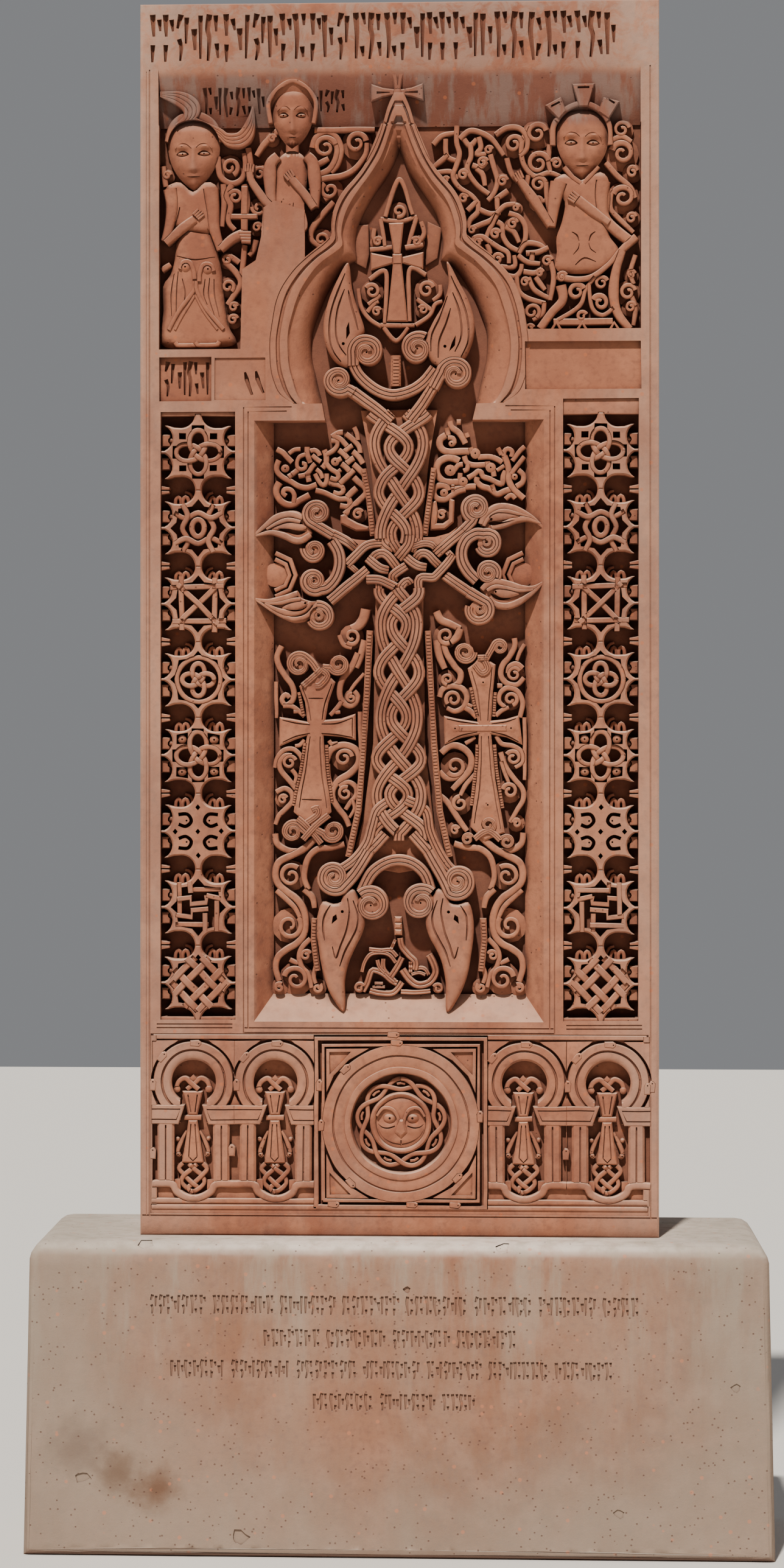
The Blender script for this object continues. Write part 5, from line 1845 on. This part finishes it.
        # the middle head stands in front of this band and stays clear of its streaks
        head = addNode(tree, "ShaderNodeVectorMath", {"operation": "LENGTH"},
                       {0: addNode(tree, "ShaderNodeVectorMath", {"operation": "MULTIPLY_ADD"},
                                   {0: place, 1: (1.5, 0.0, 1.0),
                                    2: (0.309, 0.0, -slabLow.z - 2.166)}).outputs[0]}).outputs["Value"]
        behind = maths("MULTIPLY", within, ramp(axes["Y"], front + 0.001, front + 0.008))
        behind = maths("MULTIPLY", behind, ramp(head, 0.068, 0.078))
        runs = ramp(noise(0.03, 5, 0.6, scaled(1.0, 0.4, 0.22)), 0.42, 0.58)
        colour = blend(maths("MULTIPLY", maths("MULTIPLY", slopeBand, behind), 0.7), colour, "#643d33")
        colour = blend(maths("MULTIPLY", maths("MULTIPLY", maths("MULTIPLY", slopeBand, behind), runs), 0.45),
                       colour, look["streak"])
    else:
        runs = maths("MULTIPLY", ramp(noise(0.05, 5, 0.6, scaled(1.0, 1.0, 0.16)), 0.48, 0.66),
                     ramp(axes["Z"], 0.15, 0.6))
        colour = blend(maths("MULTIPLY", runs, 0.45), colour, look["pale"])
        # greyer towards the foot and the sides than in the middle of the upper half
        reach = addNode(tree, "ShaderNodeVectorMath", {"operation": "LENGTH"},
                        {0: addNode(tree, "ShaderNodeVectorMath", {"operation": "MULTIPLY_ADD"},
                                    {0: place, 1: (1.7, 0.0, 2.5),
                                     2: (-0.05, 0.0, -1.12)}).outputs[0]}).outputs["Value"]
        colour = blend(maths("MULTIPLY", ramp(maths("ADD", reach, maths("MULTIPLY", noise(0.2, 4), 0.5)), 0.7, 1.5),
                             0.62), colour, "#8f8577")
        for x, z, r, tint, power in ((-0.46, 0.13, 0.06, "#5f3f2c", 0.8), (-0.53, 0.16, 0.06, "#5f4636", 0.7),
                                     (-0.61, 0.21, 0.08, "#6a574c", 0.6)):
            gap = addNode(tree, "ShaderNodeVectorMath", {"operation": "DISTANCE"},
                          {0: place, 1: (x, plinthLow.y, z)}).outputs["Value"]
            spot = ramp(maths("ADD", gap, maths("MULTIPLY", noise(0.03, 4), r)), r * 1.6, r * 0.5)
            colour = blend(maths("MULTIPLY", spot, power), colour, tint)
    # inclusions: orange and dark grains, and small open pores
    grains = addNode(tree, "ShaderNodeTexVoronoi", {}, {"Vector": place, "Scale": 1 / 0.018, "Randomness": 1.0})
    keep = ramp(addNode(tree, "ShaderNodeSeparateColor", None, {0: grains.outputs["Color"]}).outputs[0], 0.86, 0.88)
    fleck = maths("MULTIPLY", keep, ramp(grains.outputs["Distance"], 0.26, 0.16))
    colour = blend(maths("MULTIPLY", fleck, 0.4), colour, look["spots"])
    pores = addNode(tree, "ShaderNodeTexVoronoi", {}, {"Vector": place, "Scale": 1 / 0.011, "Randomness": 1.0})
    rare = ramp(addNode(tree, "ShaderNodeSeparateColor", None, {0: pores.outputs["Color"]}).outputs[1], 0.80, 0.84)
    pit = maths("MULTIPLY", rare, ramp(pores.outputs["Distance"], 0.20, 0.10))
    colour = blend(maths("MULTIPLY", pit, 0.7), colour, look["shade"])
    # dirt held in the depth of the carving
    near = addNode(tree, "ShaderNodeAmbientOcclusion", {"samples": 6}, {"Distance": 0.035}).outputs["AO"]
    colour = blend(ramp(near, 0.75, 0.15, (0.0, 0.74)), colour, look["shade"])
    tree.links.new(colour, shader.inputs["Base Color"])
    shader.inputs["Roughness"].default_value = 0.92
    shader.inputs["Specular IOR Level"].default_value = 0.22
    grain = maths("ADD", maths("MULTIPLY", noise(0.0035, 3, 0.7), 0.5), maths("MULTIPLY", noise(0.02, 4, 0.6), 1.0))
    relief = maths("SUBTRACT", grain, maths("MULTIPLY", pit, 1.2))
    bump = addNode(tree, "ShaderNodeBump", {}, {"Strength": 0.55, "Distance": 0.0016, "Height": relief})
    tree.links.new(bump.outputs[0], shader.inputs["Normal"])
    return material


stones = {name: tuff(name) for name in tuffLook}
for item in bpy.data.objects:
    if item.type == "MESH" and item.name in carved:
        item.data.materials.clear()
        item.data.materials.append(stones["weathered_tuff" if item is plinthPiece else "red_tuff"])


# Camera, floor and light
def studio():
    view = {"place": (0.1714, -7.6, 1.4948), "turn": 0.052, "focal": 6374.2, "shiftX": -174.4, "shiftY": -19.1}
    high = 2576.0
    camData = bpy.data.cameras.new("camera")
    cam = bpy.data.objects.new("camera", camData)
    bpy.context.scene.collection.objects.link(cam)
    cam.location = view["place"]
    cam.rotation_euler = (pi / 2, 0, view["turn"])
    camData.sensor_width = 36.0
    camData.lens = view["focal"] / high * 36.0
    camData.shift_x = -view["shiftX"] / high
    camData.shift_y = view["shiftY"] / high
    camData.clip_end = 60
    bpy.context.scene.camera = cam
    bpy.ops.mesh.primitive_plane_add(size=24, location=(0, 0, 0))
    floor = bpy.context.object
    floor.name = "floor"
    floor.data.materials.append(plainStage("paleFloor", "#d9d5cf"))
    world = bpy.data.worlds.new("studio")
    bpy.context.scene.world = world
    world.use_nodes = True
    world.node_tree.nodes["Background"].inputs[0].default_value = (*linear("#e4e6ea"), 1)
    world.node_tree.nodes["Background"].inputs[1].default_value = 0.29
    sun = bpy.data.lights.new("key", "SUN")
    sun.energy, sun.angle, sun.color = 5.7, radians(2.5), (1.0, 0.95, 0.88)
    key = bpy.data.objects.new("key", sun)
    bpy.context.scene.collection.objects.link(key)
    key.rotation_euler = Vector((0.22, 1.0, -1.30)).to_track_quat("-Z", "Y").to_euler()


def plainStage(name, colour):
    material = bpy.data.materials.new(name)
    material.use_nodes = True
    shader = material.node_tree.nodes["Principled BSDF"]
    shader.inputs["Base Color"].default_value = (*linear(colour), 1)
    shader.inputs["Roughness"].default_value = 0.8
    return material


studio()
